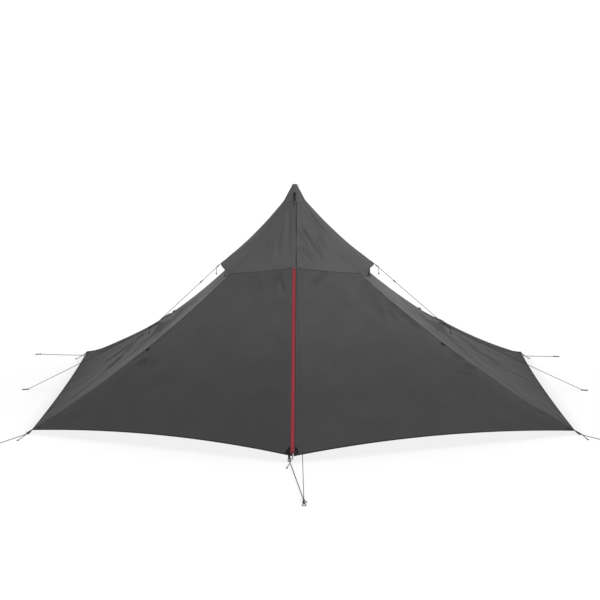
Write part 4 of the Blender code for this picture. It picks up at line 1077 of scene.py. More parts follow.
def half_front_grid(side, end):
    fold_top, fold_foot = fold_ends(side, end)
    seam_share, foot_share = DOOR_TOP_WIDTH / (2 * SEAM_FULLNESS), fold_share(side, end)
    miss = fold_top - door_seam(side, end, seam_share)
    downs = shares(ROWS, 0.92)
    surround = blend_edges(lambda t: door_seam(side, end, 1 + (seam_share - 1) * t) + miss * t,
                           lambda t: door_hem(side, end, foot_share * t),
                           lambda t: lower_ridge(side, end, t), lambda t: fold_top.lerp(fold_foot, t),
                           downs, SURROUND_SHARES)
    edge = door_across(side, end) * ZIP_CLEAR[side]
    top_edge, foot_edge = zip_top(end) + edge, zip_foot(end) + edge
    door = blend_edges(lambda t: fold_top.lerp(top_edge, t),
                       lambda t: door_hem(side, end, foot_share + (1 - foot_share) * t) + edge * t,
                       lambda t: fold_top.lerp(fold_foot, t), lambda t: top_edge.lerp(foot_edge, t),
                       downs, DOOR_SHARES)
    grid = np.concatenate([surround, door], axis=1)
    for row in range(1, ROWS):
        grid[row] = rounded_at(grid[row], len(SURROUND_SHARES) - 1, ROUNDING)
    return grid


def bend_with_door(piece, side, end):
    """Bake a piece's place into its mesh. The door's fold line is found, but the piece is not made to bend.
    """
    fold_top, fold_foot = fold_ends(side, end)
    along = (fold_foot - fold_top).normalized()
    toward = pointing(along.cross(door_normal(side, end)), zip_foot(end) - fold_top)
    middle = fold_top.lerp(fold_foot, 0.5)
    f"door_{place_name(side, end)}"
    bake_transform(piece)


for end in (FRONT, REAR):
    for side in (LEFT, RIGHT):
        out, seed, name = (side * 0.3, end, 1), 10 + 3 * side + end, place_name(side, end)
        grid = half_front_grid(side, end)
        field = 0.0007 * drift_field(grid, seed, 0.30) + 0.0012 * drift_field(grid, seed + 50, 0.75, 6)
        for depth, centre, count, near, far, phase in (
                (0.0028, corner(side, end), 17, 0.16, 0.42, 0.4),
                (0.0022, zip_foot(end), 15, 0.10, 0.30, 0.7),
                (0.0018, seam_point(side, end), 19, 0.07, 0.28, 0.3),
                (0.0012, zip_top(end), 15, 0.07, 0.25, 1.1)):
            field += depth * rays_field(grid, centre, count, near, far, phase * seed)
        field += photo_folds(grid * np.array((1, -end, 1)), FRONT_FOLDS[side], FRONT_FOLD_STRENGTH)
        panel = PANELS["half_" + name] = Panel(press(grid, out, field, BROAD_FADE), out)
        piece = dress(panel.piece("door_cloth_" + name), "canopy_cloth", None,
                      ["door_" + name, "door_surround_" + name])
        area = declare_panel(piece, panel)
        bend_with_door(piece, side, end)
        print(piece.name, f"{area:.2f} square metres, {len(piece.data.polygons)} faces")

# %% [markdown]
# ## Side panels and tie-outs
# A side panel hangs from the sill of the vent and the two ridges. A guy line draws it out to a point
# half-way down, and folds run from that point to the hem and up to the vent.

# %% Make the side panels
TIE_ROW, TIE_COLUMN, ROWS_BELOW, SPINE_STEPS = 46, 70, 64, 400
SILL_START = 0.35
TIE_CALM = 0.16                         # no wrinkle nearer the tie-out than this
TIE_HOLLOW = (0.013, 0.15, 0.09)        # depth, distance from the tie-out and width
REAR_HOLLOW = (0.028, 0.22, 0.15)
SIDE_FOLDS = {
    LEFT: [(150, 329, 96, 368, 6.0, 42), (140, 336, 84, 392, 6.0, 48), (128, 350, 60, 410, 3.0, 40),
           (148, 331, 116, 352, 3.5, 26), (160, 322, 205, 290, 3.0, 26)],
    RIGHT: [(449, 328, 536, 388, 6.5, 46), (446, 331, 505, 388, 4.5, 40), (452, 326, 505, 352, 3.5, 32),
            (440, 322, 405, 292, 3.5, 26), (470, 350, 540, 404, 2.5, 40)],
}


def side_grid(side):
    first = SILL_START * SILL_DROP / (corner(LEFT, FRONT) - seam_point(LEFT, FRONT)).length
    middle = Vector((base_x(side, SILL_MIDDLE[0]), 0, SILL_MIDDLE[1]))
    ends = [lower_ridge(side, end, first) for end in (FRONT, REAR)]

    def surface(downs, acrosses):
        return blend_edges(lambda t: bend_through(ends[0], middle, ends[1], t), lambda t: side_hem(side, t),
                           lambda t: lower_ridge(side, FRONT, first + (1 - first) * t),
                           lambda t: lower_ridge(side, REAR, first + (1 - first) * t), downs, acrosses)
    target = np.array((base_x(side, TIE_OUT[0]), 0, TIE_OUT[1]))
    spine = surface(shares(SPINE_STEPS), [0.5])[:, 0]
    tie_step = int(np.argmin(np.linalg.norm(spine - target, axis=1)))
    tie_share, centre = tie_step / SPINE_STEPS, spine[tie_step]
    acrosses = [0.5 + 0.5 * math.copysign(abs(2 * t - 1) ** 1.25, 2 * t - 1)
                for t in shares(2 * TIE_COLUMN)]
    downs = [tie_share * (1 - (1 - t) ** 1.2) for t in shares(TIE_ROW)]
    downs += [tie_share + (1 - tie_share) * t ** 1.2 for t in shares(ROWS_BELOW)[1:]]
    grid = surface(downs, acrosses)
    draw = np.clip(1 - np.linalg.norm(grid - centre, axis=2) / TIE_SPREAD, 0, None) ** 2
    return grid + (target - centre) * draw[:, :, None]


def ring_hollow(away, depth, distance, width):
    return depth * np.exp(-((away - distance) / width) ** 2)


for side in (LEFT, RIGHT):
    out, part = (side, 0, 1), SIDE_NAMES[side]
    grid = side_grid(side)
    tie = grid[TIE_ROW, TIE_COLUMN].copy()
    field = 0.0009 * drift_field(grid, 31 + side, 0.30) + 0.0014 * drift_field(grid, 71 + side, 0.7, 6)
    field += 0.0022 * rays_field(grid, tie, 9, 0.20, 0.62, 1.2 + side)
    field += 0.0010 * rays_field(grid, tie, 21, 0.06, 0.26, 0.4 + side)
    for end in (FRONT, REAR):
        field += 0.0020 * rays_field(grid, corner(side, end), 17, 0.15, 0.45, 0.9 * side + end)
        field += 0.0018 * rays_field(grid, seam_point(side, end), 17, 0.07, 0.26, side + 0.5 * end)
    field += photo_folds(grid, SIDE_FOLDS[side], SIDE_FOLD_STRENGTH)
    away = np.linalg.norm(grid - tie, axis=2)
    field = field * smooth_step(away / TIE_CALM) - ring_hollow(away, *TIE_HOLLOW)
    behind = smooth_step(grid[:, :, 1] / 0.10) * smooth_step((grid[:, :, 2] - tie[2]) / 0.06)
    field -= behind * ring_hollow(away, *REAR_HOLLOW)
    panel = PANELS["side_" + part] = Panel(press(grid, out, field, BROAD_FADE), out)
    # The side cloth is painted lighter than the front's, as painted light.
    piece = dress(panel.piece("side_cloth_" + part), "side_cloth", "canopy",
                  ["side_panel_" + part])
    area = declare_panel(piece, panel)
    print(piece.name, f"{area:.2f} square metres, tie-out at", [round(float(x), 3) for x in tie])

# %% [markdown]
# ## Top panels and hoods
# The top is in four parts, coloured lighter than the cloth below. The front and back parts end in the seam
# over the doors, and the two side parts run on past the ridge as hoods over the vents. The folds on the
# right of the front are the photograph's: the cloth is pulled from the peak and the zip towards the end of
# the seam.

# %% Make the top panels and hoods
TOP_FOLDS = [(306, 208, 346, 262, 4.0, 30), (322, 221, 354, 268, 3.4, 24), (298, 224, 324, 267, 3.6, 24),
             (297, 244, 312, 266, 2.6, 18), (336, 238, 362, 270, 2.6, 20), (314, 232, 330, 262, 2.0, 18),
             (288, 205, 285, 262, 2.0, 26), (279, 230, 274, 266, 1.6, 24), (268, 240, 250, 266, 1.8, 26)]


def top_grid(end):
    def foot(t):
        return door_seam(LEFT, end, 1 - 2 * t) if t <= 0.5 else door_seam(RIGHT, end, 2 * t - 1)
    return blend_edges(lambda t: cap_rim(ring_point(LEFT, end), ring_point(RIGHT, end), t), foot,
                       lambda t: top_ridge(LEFT, end, t), lambda t: top_ridge(RIGHT, end, t),
                       shares(64), shares(96))


def hood_grid(side):
    ends = [seam_point(side, end) for end in (FRONT, REAR)]
    return blend_edges(lambda t: cap_rim(ring_point(side, FRONT), ring_point(side, REAR), t),
                       lambda t: bend_through(ends[0], hood_tip(side), ends[1], t),
                       lambda t: top_ridge(side, FRONT, t), lambda t: top_ridge(side, REAR, t),
                       shares(60), shares(80))


for end in (FRONT, REAR):
    out, grid = (0, end, 1), top_grid(end)
    field = 0.0005 * drift_field(grid, 90 + end, 0.2)
    field += 0.0012 * rays_field(grid, (0, 0, CAP_RIM), 13, 0.10, 0.34, 0.8 + end)
    for side in (LEFT, RIGHT):
        field += 0.0014 * rays_field(grid, seam_point(side, end), 17, 0.06, 0.22, side + 0.3 * end)
    field += photo_folds(grid * np.array((1, -end, 1)), TOP_FOLDS, TOP_FOLD_STRENGTH)
    PANELS["top_" + END_NAMES[end]] = Panel(press(grid, out, field, TOP_FADE), out)
for side in (LEFT, RIGHT):
    out, grid = (side, 0, 1), hood_grid(side)
    field = 0.0006 * drift_field(grid, 95 + side, 0.2)
    field += 0.0012 * rays_field(grid, (0, 0, CAP_RIM), 13, 0.10, 0.34, 0.2 + side)
    field += 0.0022 * rays_field(grid, hood_tip(side), 13, 0.08, 0.26, side)
    PANELS["hood_" + SIDE_NAMES[side]] = Panel(press(grid, out, field, TOP_FADE), out)
for key, solid in (("top_front", "top_panel_front"), ("top_rear", "top_panel_rear"),
                   ("hood_left", "hood_left"), ("hood_right", "hood_right")):
    piece = dress(PANELS[key].piece(key + "_cloth"), "top_cloth", "canopy", [solid])
    area = declare_panel(piece, PANELS[key])
    print(piece.name, f"{area:.2f} square metres")

# %% [markdown]
# ## Stitches, teeth and ribs
# A row of stitches, a zip's coil and the grip ribs of a puller are all the same thing: one small bead,
# repeated at an even pitch along a route and turned to face away from the surface. One geometry node tree
# makes all of them. It resamples the route, stands a bead on each point and aligns it to the route.

# %% Rows of beads
BEAD_SIZES = {"Pitch": 0.004, "Length": 0.0030, "Width": 0.0009, "Height": 0.0007, "Turn": 0.05}


def bead_tree():
    tree = bpy.data.node_groups.new("bead_row", "GeometryNodeTree")
    tree.interface.new_socket("Route", in_out="INPUT", socket_type="NodeSocketGeometry")
    for key, value in BEAD_SIZES.items():
        tree.interface.new_socket(key, in_out="INPUT", socket_type="NodeSocketFloat").default_value = value
    tree.interface.new_socket("Material", in_out="INPUT", socket_type="NodeSocketMaterial")
    tree.interface.new_socket("Beads", in_out="OUTPUT", socket_type="NodeSocketGeometry")
    given, taken = tree.nodes.new("NodeGroupInput").outputs, tree.nodes.new("NodeGroupOutput")
    curve = node(tree, "GeometryNodeMeshToCurve", {"Mesh": given["Route"]}).outputs[0]
    even = node(tree, "GeometryNodeResampleCurve", {"Curve": curve, "Length": given["Pitch"]},
                mode="LENGTH")
    facing = node(tree, "GeometryNodeInputNamedAttribute", {"Name": "facing"}, data_type="FLOAT_VECTOR")
    tangent = node(tree, "GeometryNodeInputTangent").outputs[0]
    along = node(tree, "FunctionNodeAlignRotationToVector", {"Vector": tangent}, axis="X").outputs[0]
    upright = node(tree, "FunctionNodeAlignRotationToVector",
                   {"Rotation": along, "Vector": facing.outputs[0]}, axis="Z", pivot_axis="X").outputs[0]
    back = maths(tree, "MULTIPLY", given["Turn"], -1.0)
    random = node(tree, "FunctionNodeRandomValue", {"Min": back, "Max": given["Turn"], "Seed": 7},
                  data_type="FLOAT")
    turn = node(tree, "ShaderNodeCombineXYZ", {"Z": random.outputs[1]}).outputs[0]
    turned = node(tree, "FunctionNodeRotateRotation", {"Rotation": upright, "Rotate By": turn},
                  rotation_space="LOCAL").outputs[0]
    ball = node(tree, "GeometryNodeMeshUVSphere", {"Segments": 6, "Rings": 4, "Radius": 0.5}).outputs[0]
    size = {axis: given[key] for axis, key in zip("XYZ", ("Length", "Width", "Height"))}
    scale = node(tree, "ShaderNodeCombineXYZ", size).outputs[0]
    beads = node(tree, "GeometryNodeInstanceOnPoints",
                 {"Points": even.outputs[0], "Instance": ball, "Rotation": turned,
                  "Scale": scale}).outputs[0]
    real = node(tree, "GeometryNodeRealizeInstances", {"Geometry": beads}).outputs[0]
    soft = node(tree, "GeometryNodeSetShadeSmooth", {0: real}).outputs[0]
    painted = node(tree, "GeometryNodeSetMaterial", {"Geometry": soft, "Material": given["Material"]})
    tree.links.new(painted.outputs[0], taken.inputs["Beads"])
    return tree


BEAD_ROW = bead_tree()


def bead_rows(name, routes, material, **sizes):
    """Beads along (points, facings) routes, as one plain mesh."""
    points, facings, edges = [], [], []
    for places, ways in routes:
        first = len(points)
        points += [tuple(place) for place in places]
        facings += [tuple(way) for way in ways]
        edges += [(first + step, first + step + 1) for step in range(len(places) - 1)]
    mesh = bpy.data.meshes.new(name + "_route")
    mesh.from_pydata(points, edges, [])
    layer = mesh.attributes.new("facing", "FLOAT_VECTOR", "POINT")
    layer.data.foreach_set("vector", np.array(facings, dtype=np.float32).ravel())
    route = bpy.data.objects.new(name + "_route", mesh)
    scene.collection.objects.link(route)
    row = route.modifiers.new("Beads", "NODES")
    row.node_group = BEAD_ROW
    for item in BEAD_ROW.interface.items_tree:
        if item.in_out == "INPUT" and item.name in BEAD_SIZES:
            row[item.identifier] = float(sizes.get(item.name, BEAD_SIZES[item.name]))
        elif item.in_out == "INPUT" and item.name == "Material":
            row[item.identifier] = MATERIALS[material]
    bpy.context.view_layer.update()
    shown = route.evaluated_get(bpy.context.evaluated_depsgraph_get())
    beads = bpy.data.objects.new(name, bpy.data.meshes.new_from_object(shown))
    bpy.data.objects.remove(route)
    beads.data.name = name
    scene.collection.objects.link(beads)
    return beads


def all_facing(lines, way):
    """Routes for beads that all face one way."""
    return [(line, [way] * len(line)) for line in lines]


def ribbon(name, lines, facing):
    """A strip of cloth through lines that run side by side, facing one way at its first line."""
    lines = [as_array(line) for line in lines]
    along, across, uvs = rows_along(lines[0]), 0.0, []
    for number, line in enumerate(lines):
        if number:
            across += float(np.linalg.norm(line - lines[number - 1], axis=1).mean())
        uvs += [(across, far) for far in along]
    faces, middle = grid_faces(len(lines), len(along)), len(along) // 2
    normal = np.cross(lines[0][middle + 1] - lines[0][middle], lines[1][middle] - lines[0][middle])
    if normal @ np.array(tuple(facing)) < 0:
        faces = [tuple(reversed(face)) for face in faces]
    return add_mesh(name, np.concatenate(lines), faces, uvs)


print("bead tree with", len(BEAD_ROW.nodes), "nodes")

# %% [markdown]
# ## Seams
# Two panels are joined by a folded seam, a strip 12 mm wide that stands a millimetre off the cloth, with
# a ridge where the panels meet and a row of stitches on each side. Its edges are read off both panels, so
# it follows every fold. The panels' grids have different rows, so both are measured from the end of the
# line that they share.

# %% Sew the seams
SEAM_SECTION = ((0.0062, 0.00015), (0.0055, 0.0009), (0.0020, 0.0011))      # inset and lift
SEAM_RIDGE = 0.0014
STITCH_INSET, STITCH_LIFT = 0.0040, 0.0011


def from_shared_end(first, second):
    """Whether each of two lines has to be turned so that both start at the end that they share."""
    pairs = [(np.linalg.norm(first[a] - second[b]), a, b) for a in (0, -1) for b in (0, -1)]
    _, a, b = min(pairs)
    return a == -1, b == -1


def seam_lines(panel_a, edge_a, panel_b, edge_b, wanted):
    """Lines at (panel number, inset, lift) places on either side of a shared edge."""
    sides = ((panel_a, edge_a), (panel_b, edge_b))
    guides = [panel.inset(edge, 0, 0) for panel, edge in sides]
    flips = from_shared_end(*guides)
    lengths = [rows_along(guide[::-1] if flip else guide) for guide, flip in zip(guides, flips)]
    long = min(away[-1] for away in lengths)
    distances = np.linspace(0.002, long - 0.001, max(24, int(long / 0.012)))
    made = []
    for number, inset, lift in wanted:
        panel, edge = sides[number]
        line = panel.inset(edge, inset, lift)
        made.append(at_lengths(line[::-1] if flips[number] else line, lengths[number], distances))
    return made


SEAMS = {}
for side, end in PLACES:
    at_end, at_side, half = END_NAMES[end], SIDE_NAMES[side], "half_" + place_name(side, end)
    edge, top_edge = "near" if end == FRONT else "far", "near" if side == LEFT else "far"
    SEAMS[f"ridge_{at_end}_{at_side}"] = (half, "near", "side_" + at_side, edge)
    SEAMS[f"top_ridge_{at_end}_{at_side}"] = ("top_" + at_end, top_edge, "hood_" + at_side, edge)
    SEAMS[f"door_seam_{at_end}_{at_side}"] = (half, "top", "top_" + at_end, "foot")

stitch_routes, strips = [], []
for name, (first, first_edge, second, second_edge) in SEAMS.items():
    pair = (PANELS[first], first_edge, PANELS[second], second_edge)
    wanted = [(0, inset, lift) for inset, lift in SEAM_SECTION] + [(0, 0, SEAM_RIDGE)]
    wanted += [(1, inset, lift) for inset, lift in reversed(SEAM_SECTION)]
    facings = [PANELS[key].normals.mean((0, 1)) for key in (first, second)]
    shade = "top_cloth" if name.startswith("top_ridge") else "seam_cloth"
    strips.append(dress(ribbon("seam_" + name, seam_lines(*pair, wanted), facings[0]), shade))
    for number in (0, 1):
        line = seam_lines(*pair, [(number, STITCH_INSET, STITCH_LIFT)])
        stitch_routes += all_facing(line, facings[number])
dress(join("seams", strips), None, "canopy")
seam_stitches = dress(bead_rows("seam_stitches", stitch_routes, "thread"), None, "canopy")
print(len(SEAMS), "seams,", len(seam_stitches.data.polygons), "faces of stitches")

# %% [markdown]
# ## Bound edges
# The hems, the hood lips and the sills are bound with woven tape folded over the raw edge. The tape is a
# U in section: down one face, round the edge and up the other.

# %% Bind the hems, lips and sills
BINDING_SECTION = ((0.0095, 0.0002), (0.0090, 0.0009), (0.0010, 0.0011), (-0.0010, 0.0),
                   (0.0010, -0.0011), (0.0090, -0.0009), (0.0095, -0.0002))
BINDING_STITCH = (0.0070, 0.0011)


def binding(name, panel, edge, material, body=None):
    """The tape over one edge of a panel, and its row of stitches."""
    facing = panel.normals.mean((0, 1))
    lines = [panel.inset(edge, inset, lift) for inset, lift in BINDING_SECTION]
    tape = dress(ribbon(name, lines, facing), material, body)
    stitches = all_facing([panel.inset(edge, *BINDING_STITCH)], facing)
    return tape, dress(bead_rows(name + "_stitches", stitches, "thread"), None, body)


for side in (LEFT, RIGHT):
    part = SIDE_NAMES[side]
    for key, panel_name, edge, material in (("side_hem", "side_", "foot", "hem_tape_and_painted_shade"),
                                            ("sill", "side_", "top", "seam_cloth"),
                                            ("hood_lip", "hood_", "foot", "top_cloth")):
        binding(f"{key}_{part}", PANELS[panel_name + part], edge, material, "canopy")
    for end in (FRONT, REAR):
        name = place_name(side, end)
        for piece in binding("door_hem_" + name, PANELS["half_" + name], "foot", "hem_tape_and_painted_shade"):
            bend_with_door(piece, side, end)
print("bound 6 edges of the sides and hoods, and", len(PLACES), "door hems, which bend")

# %% [markdown]
# ## Zips
# The tape is woven cloth sewn to each door's edge. The coil is a row of nylon turns, one every 2 mm, that
# rides with the left door, and a ridge of tape on the right door closes up to it. Both tapes end short of
# the seam above and of the hem below, as the solid ones do.

# %% Make the zips
TAPE_WIDTH = 0.0135
DARK_STRIP_SPAN = (0.0118, 0.0162)
ZIP_END_GAP, ZIP_STEPS = 0.018, 80
COIL_PITCH = 0.0020
ZIP_SECTIONS = {                # x across the zip and height above its line
    LEFT: ((-TAPE_WIDTH, 0.0004), (-TAPE_WIDTH, 0.0012), (-0.0080, 0.0014), (-0.0034, 0.0014),
           (-0.0030, 0.0019), (0.0030, 0.0019), (0.0034, 0.0014), (0.0054, 0.0012), (0.0056, 0.0002),
           (0.0058, -0.0010), (0.0080, -0.0012)),
    RIGHT: ((0.0059, 0.0006), (0.0062, 0.0015), (0.0080, 0.0015), (TAPE_WIDTH, 0.0012),
            (TAPE_WIDTH, 0.0004)),
}
ZIP_STITCHES = {LEFT: ((-0.0112, 0.0015), (-0.0055, 0.0016)), RIGHT: ((0.0112, 0.0015), (0.0085, 0.0017))}
ZIP_SOLIDS = {LEFT: "zip_chain_", RIGHT: "zip_tape_"}
# The first is a dark strip of painted shade beside the zip's right tape. The second is a dark strip down
# the middle of the top.
ZIP_SHADE_STRIP = ((DARK_STRIP_SPAN[0], 0.0010), (DARK_STRIP_SPAN[0], 0.0021), (DARK_STRIP_SPAN[1], 0.0021), (DARK_STRIP_SPAN[1], 0.0002))
TOP_DARK_STRIP = ((DARK_STRIP_SPAN[0], 0.0002), (DARK_STRIP_SPAN[0], 0.0014), (DARK_STRIP_SPAN[1], 0.0014), (DARK_STRIP_SPAN[1], 0.0002))


def zip_out(end):
    return pointing(Vector((1, 0, 0)).cross(zip_line(end)), UP)


def door_fall(side, end):
    """How far a door's cloth drops away from the zip's line for each metre across it."""
    across = door_across(side, end)
    return -across.dot(zip_out(end)) / abs(across.x)


def tape_line(end, x, height):
    """A line along the zip at one x, at a height above the door's cloth."""
    fall = abs(x) * door_fall(LEFT if x < 0 else RIGHT, end)
    span = zip_length(end) - 2 * ZIP_END_GAP
    line = []
    for step in range(ZIP_STEPS + 1):
        place = zip_top(end) + zip_line(end) * (ZIP_END_GAP + span * step / ZIP_STEPS)
        line.append(place + Vector((x, 0, 0)) + zip_out(end) * (height - fall))
    return line


def down_the_top(panel, x, lift):
    """A line down the top panel at one x, from the cap's rim to the seam."""
    line = []
    for row in range(panel.rows):
        point, normal = panel.at(row, np.interp(x, panel.grid[row, :, 0], np.arange(panel.columns)))
        line.append(point + normal * lift)
    return line


for end in (FRONT, REAR):
    part, facing = END_NAMES[end], zip_out(end)
    for side in (LEFT, RIGHT):
        name = place_name(side, end)
        lines = [tape_line(end, x, height) for x, height in ZIP_SECTIONS[side]]
        dress(ribbon("zip_tape_cloth_" + name, lines, facing), "zip_tape", "door_" + name,
              [ZIP_SOLIDS[side] + part])
        rows = all_facing([tape_line(end, x, height) for x, height in ZIP_STITCHES[side]], facing)
        dress(bead_rows("zip_stitches_" + name, rows, "red_thread", Length=0.0026), None,
              "door_" + name)
    # Painted shade: a dark strip beside the right tape stands for the shade along the zip's edge.
    lines = [tape_line(end, x, height) for x, height in ZIP_SHADE_STRIP]
    dress(ribbon("zip_painted_shade_strip_" + part, lines, facing), "hem_tape_and_painted_shade", f"door_{part}_right")
    # A dark strip down the middle of the top panel, from the cap's rim to the seam.
    lines = [down_the_top(PANELS["top_" + part], x, lift) for x, lift in TOP_DARK_STRIP]
    dress(ribbon("top_middle_dark_strip_" + part, lines, facing), "hem_tape_and_painted_shade", "canopy")
    coil = bead_rows("zip_coil_" + part, all_facing([tape_line(end, 0.0, 0.0022)], facing), "zip_coil",
                     Pitch=COIL_PITCH, Length=0.0014, Width=0.0058, Height=0.0018, Turn=0.0)
    dress(coil, None, f"door_{part}_left")
    print(coil.name, "has", round((zip_length(end) - 2 * ZIP_END_GAP) / COIL_PITCH), "turns")

# %% [markdown]
# ## Locks and their tails
# Each line is held by a ladder lock: a moulded frame with three bars, sewn to the cloth by a loop of
# webbing round its first bar. The cord passes over the outer bar and round the middle one, and its loose
# tail hangs down or lies on the ground. A lock's own axes are read off its solid.

# %% Make the locks
LOCK_LENGTH, LOCK_WIDTH, LOCK_BAR, LOCK_DEPTH = 0.026, 0.024, 0.0045, 0.0035
LOCK_MID_WIDTH = 0.009          # further from the middle than this there is lock but no strap
STRAP_WIDTH, STRAP_THICKNESS = 0.015, 0.0011
SMOOTHINGS = 3


def lock_frame(name):
    """X runs out along the lock from where its strap starts, and Z stands up off its face."""
    middle, (long, wide, thin), sizes = axes_of(name)
    away = solid_points(name) - np.array(middle)
    broad = away[np.abs(away @ np.array(wide)) > LOCK_MID_WIDTH]
    if (broad @ np.array(long)).mean() < 0:
        long = -long
    return axes_matrix(middle - long * sizes[0] / 2, long, pointing(thin, UP)), sizes[0] - LOCK_LENGTH


def flat_shape(name, outlines, depth, edge, place):
    """A moulded plate with rounded edges: a flat curve with its holes, given a depth and a bevel."""
    curve = bpy.data.curves.new(name, "CURVE")
    curve.dimensions, curve.fill_mode = "2D", "BOTH"
    curve.extrude, curve.bevel_depth, curve.bevel_resolution = depth / 2 - edge, edge, 2
    curve.offset = -edge
    for outline in outlines:
        spline = curve.splines.new("POLY")
        spline.points.add(len(outline) - 1)
        spline.points.foreach_set("co", [part for x, y in outline for part in (x, y, 0, 1)])
        spline.use_cyclic_u = True
    shape = bpy.data.objects.new(name, curve)
    scene.collection.objects.link(shape)
    bpy.context.view_layer.update()
    mesh = bpy.data.meshes.new_from_object(shape.evaluated_get(bpy.context.evaluated_depsgraph_get()))
    bpy.data.objects.remove(shape)
    mesh.transform(place)
    piece = bpy.data.objects.new(name, mesh)
    scene.collection.objects.link(piece)
    return piece


def rounded_box(x0, x1, half, corner_size, steps=4):
    """The outline of a rectangle with rounded corners."""
    outline = []
    for cx, cy, start in ((x1, half, 0), (x0, half, 1), (x0, -half, 2), (x1, -half, 3)):
        sx, sy = (1 if cx == x1 else -1), (1 if cy > 0 else -1)
        for step in range(steps + 1):
            turn = (start + step / steps) * math.pi / 2
            outline.append((cx - sx * corner_size + corner_size * math.cos(turn),
                            cy - sy * corner_size + corner_size * math.sin(turn)))
    return outline


def sweep(name, route, across, section):
    """A closed band along a route whose side direction stays the same, as webbing's does."""
    along, points, uvs = lengths_along(route), [], []
    for number, place in enumerate(route):
        tangent = (route[min(number + 1, len(route) - 1)] - route[max(number - 1, 0)]).normalized()
        lift = across.cross(tangent).normalized()
        for aside, up in section:
            points.append(place + across * aside + lift * up)
            uvs.append((aside, along[number]))
    return face_outwards(add_mesh(name, points, tube_faces(len(route), len(section)), uvs))


def band_section(width, thickness):
    w, t = width / 2, thickness / 2
    half = [(w, t / 2), (w - t / 2, t), (-w + t / 2, t), (-w, t / 2)]
    return half + [(-x, -z) for x, z in half]


def smoothed(points, steps):
    """A smooth route through a few points, evenly spaced."""
    places = as_array(points)
    away = rows_along(places)
    line = at_lengths(places, away, np.linspace(0, away[-1], steps))
    for _ in range(SMOOTHINGS):
        line[1:-1] = (line[:-2] + 2 * line[1:-1] + line[2:]) / 4
    return [Vector(p) for p in line]


def grip_rows(place, ahead, half, count, height, faces=(1, -1)):
    """Rows of grip ribs across a moulding, at each place ahead along it, on one face or both."""
    rows = []
    for face in faces:
        lines = [[place @ Vector((x, y, face * height)) for y in np.linspace(-half, half, count)]
                 for x in ahead]
        rows += all_facing(lines, place.to_3x3() @ UP * face)
    return rows


def lock_pieces(name, place, strap):
    """The frame with its ribs, the webbing loop with its stitches, and the turn of cord round the bar."""
    slot = (LOCK_LENGTH - 3 * LOCK_BAR) / 2
    end, half = strap + LOCK_LENGTH, LOCK_WIDTH / 2
    bar_end, middle = strap + LOCK_BAR, strap + LOCK_LENGTH / 2
    outlines = [rounded_box(strap, end, half, 0.0042)]
    for near in (bar_end, bar_end + slot + LOCK_BAR):
        outlines.append(rounded_box(near, near + slot, half - LOCK_BAR, 0.0016))
    plate = dress(flat_shape(name + "_frame", outlines, LOCK_DEPTH, 0.0008, place), "black_hardware")
    ribs = grip_rows(place, [end - 0.0011 - number * 0.0012 for number in range(3)], half - 0.0055, 9,
                     LOCK_DEPTH / 2, (1,))
    grips = bead_rows(name + "_ribs", ribs, "black_hardware", Pitch=0.0013, Length=0.0018, Width=0.0007,
                      Height=0.0009)
    upper = [(0, 0.0007), (strap * 0.55, 0.0008), (strap - 0.0015, 0.0023), (strap + 0.0010, 0.0026),
             (bar_end - 0.0008, 0.0026), (bar_end + 0.0009, 0.0014)]
    loop = upper + [(bar_end + 0.0012, 0)] + [(x, -z) for x, z in reversed(upper)]
    loop_route = smoothed([place @ Vector((x, 0, z)) for x, z in loop], 44)
    band = dress(sweep(name + "_webbing", loop_route, place.to_3x3() @ Vector((0, 1, 0)),
                       band_section(STRAP_WIDTH, STRAP_THICKNESS)), "strap_webbing")
    half_box, near, far = STRAP_WIDTH / 2 - 0.0022, 0.0020, max(strap - 0.0040, 0.0075)
    box = [[(near, -half_box), (far, -half_box), (far, half_box), (near, half_box), (near, -half_box),
            (far, half_box)], [(near, half_box), (far, -half_box)]]
    box_lines = [[place @ Vector((x, y, 0.0015)) for x, y in marks] for marks in box]
    stitches = bead_rows(name + "_box_stitch", all_facing(box_lines, place.to_3x3() @ UP), "thread",
                         Pitch=0.0026, Length=0.0020, Width=0.0008)
    turn = [(end + 0.0008, 0.0), (end - 0.0010, 0.0026), (end - 0.0035, 0.0031), (end - 0.0062, 0.0010),
            (middle + 0.0042, -0.0022), (middle, -0.0032), (middle - 0.0040, -0.0018),
            (middle - 0.0042, 0.0016), (middle, 0.0034), (middle + 0.0045, 0.0040),
            (end - 0.0040, 0.0042), (end - 0.0010, 0.0032)]
    shift = np.linspace(0, 0.0035, len(turn))
    wrap_route = [place @ Vector((x, y, z)) for (x, z), y in zip(turn, shift)]
    wrap = tube(name + "_turn", smoothed(wrap_route, 40), CORD_RADIUS)
    return [plate, grips], [band, stitches], wrap


LOCKS = {name: lock_frame(name) for name in sorted(NODES)
         if name.startswith(("corner_lock", "door_lock", "hood_lock", "peak_lock", "tie_out"))}
for name, (place, strap) in LOCKS.items():
    hardware, sewn, wrap = lock_pieces(name, place, strap)
    dress(join(name + "_hardware", hardware), None, "canopy", [name])
    dress(join(name + "_strap", sewn), None, "canopy")
    dress(wrap, "guy_cord", "canopy")
print(len(LOCKS), "locks, straps of", sorted({round(strap * 1000) for _, strap in LOCKS.values()}), "mm")

# %% [markdown]
# ## Tails
# What is left of each cord hangs from its lock and ends in a small knot. A tail by the ground lies where
# the photograph shows it. The others hang a few centimetres and rest on the cloth under them.

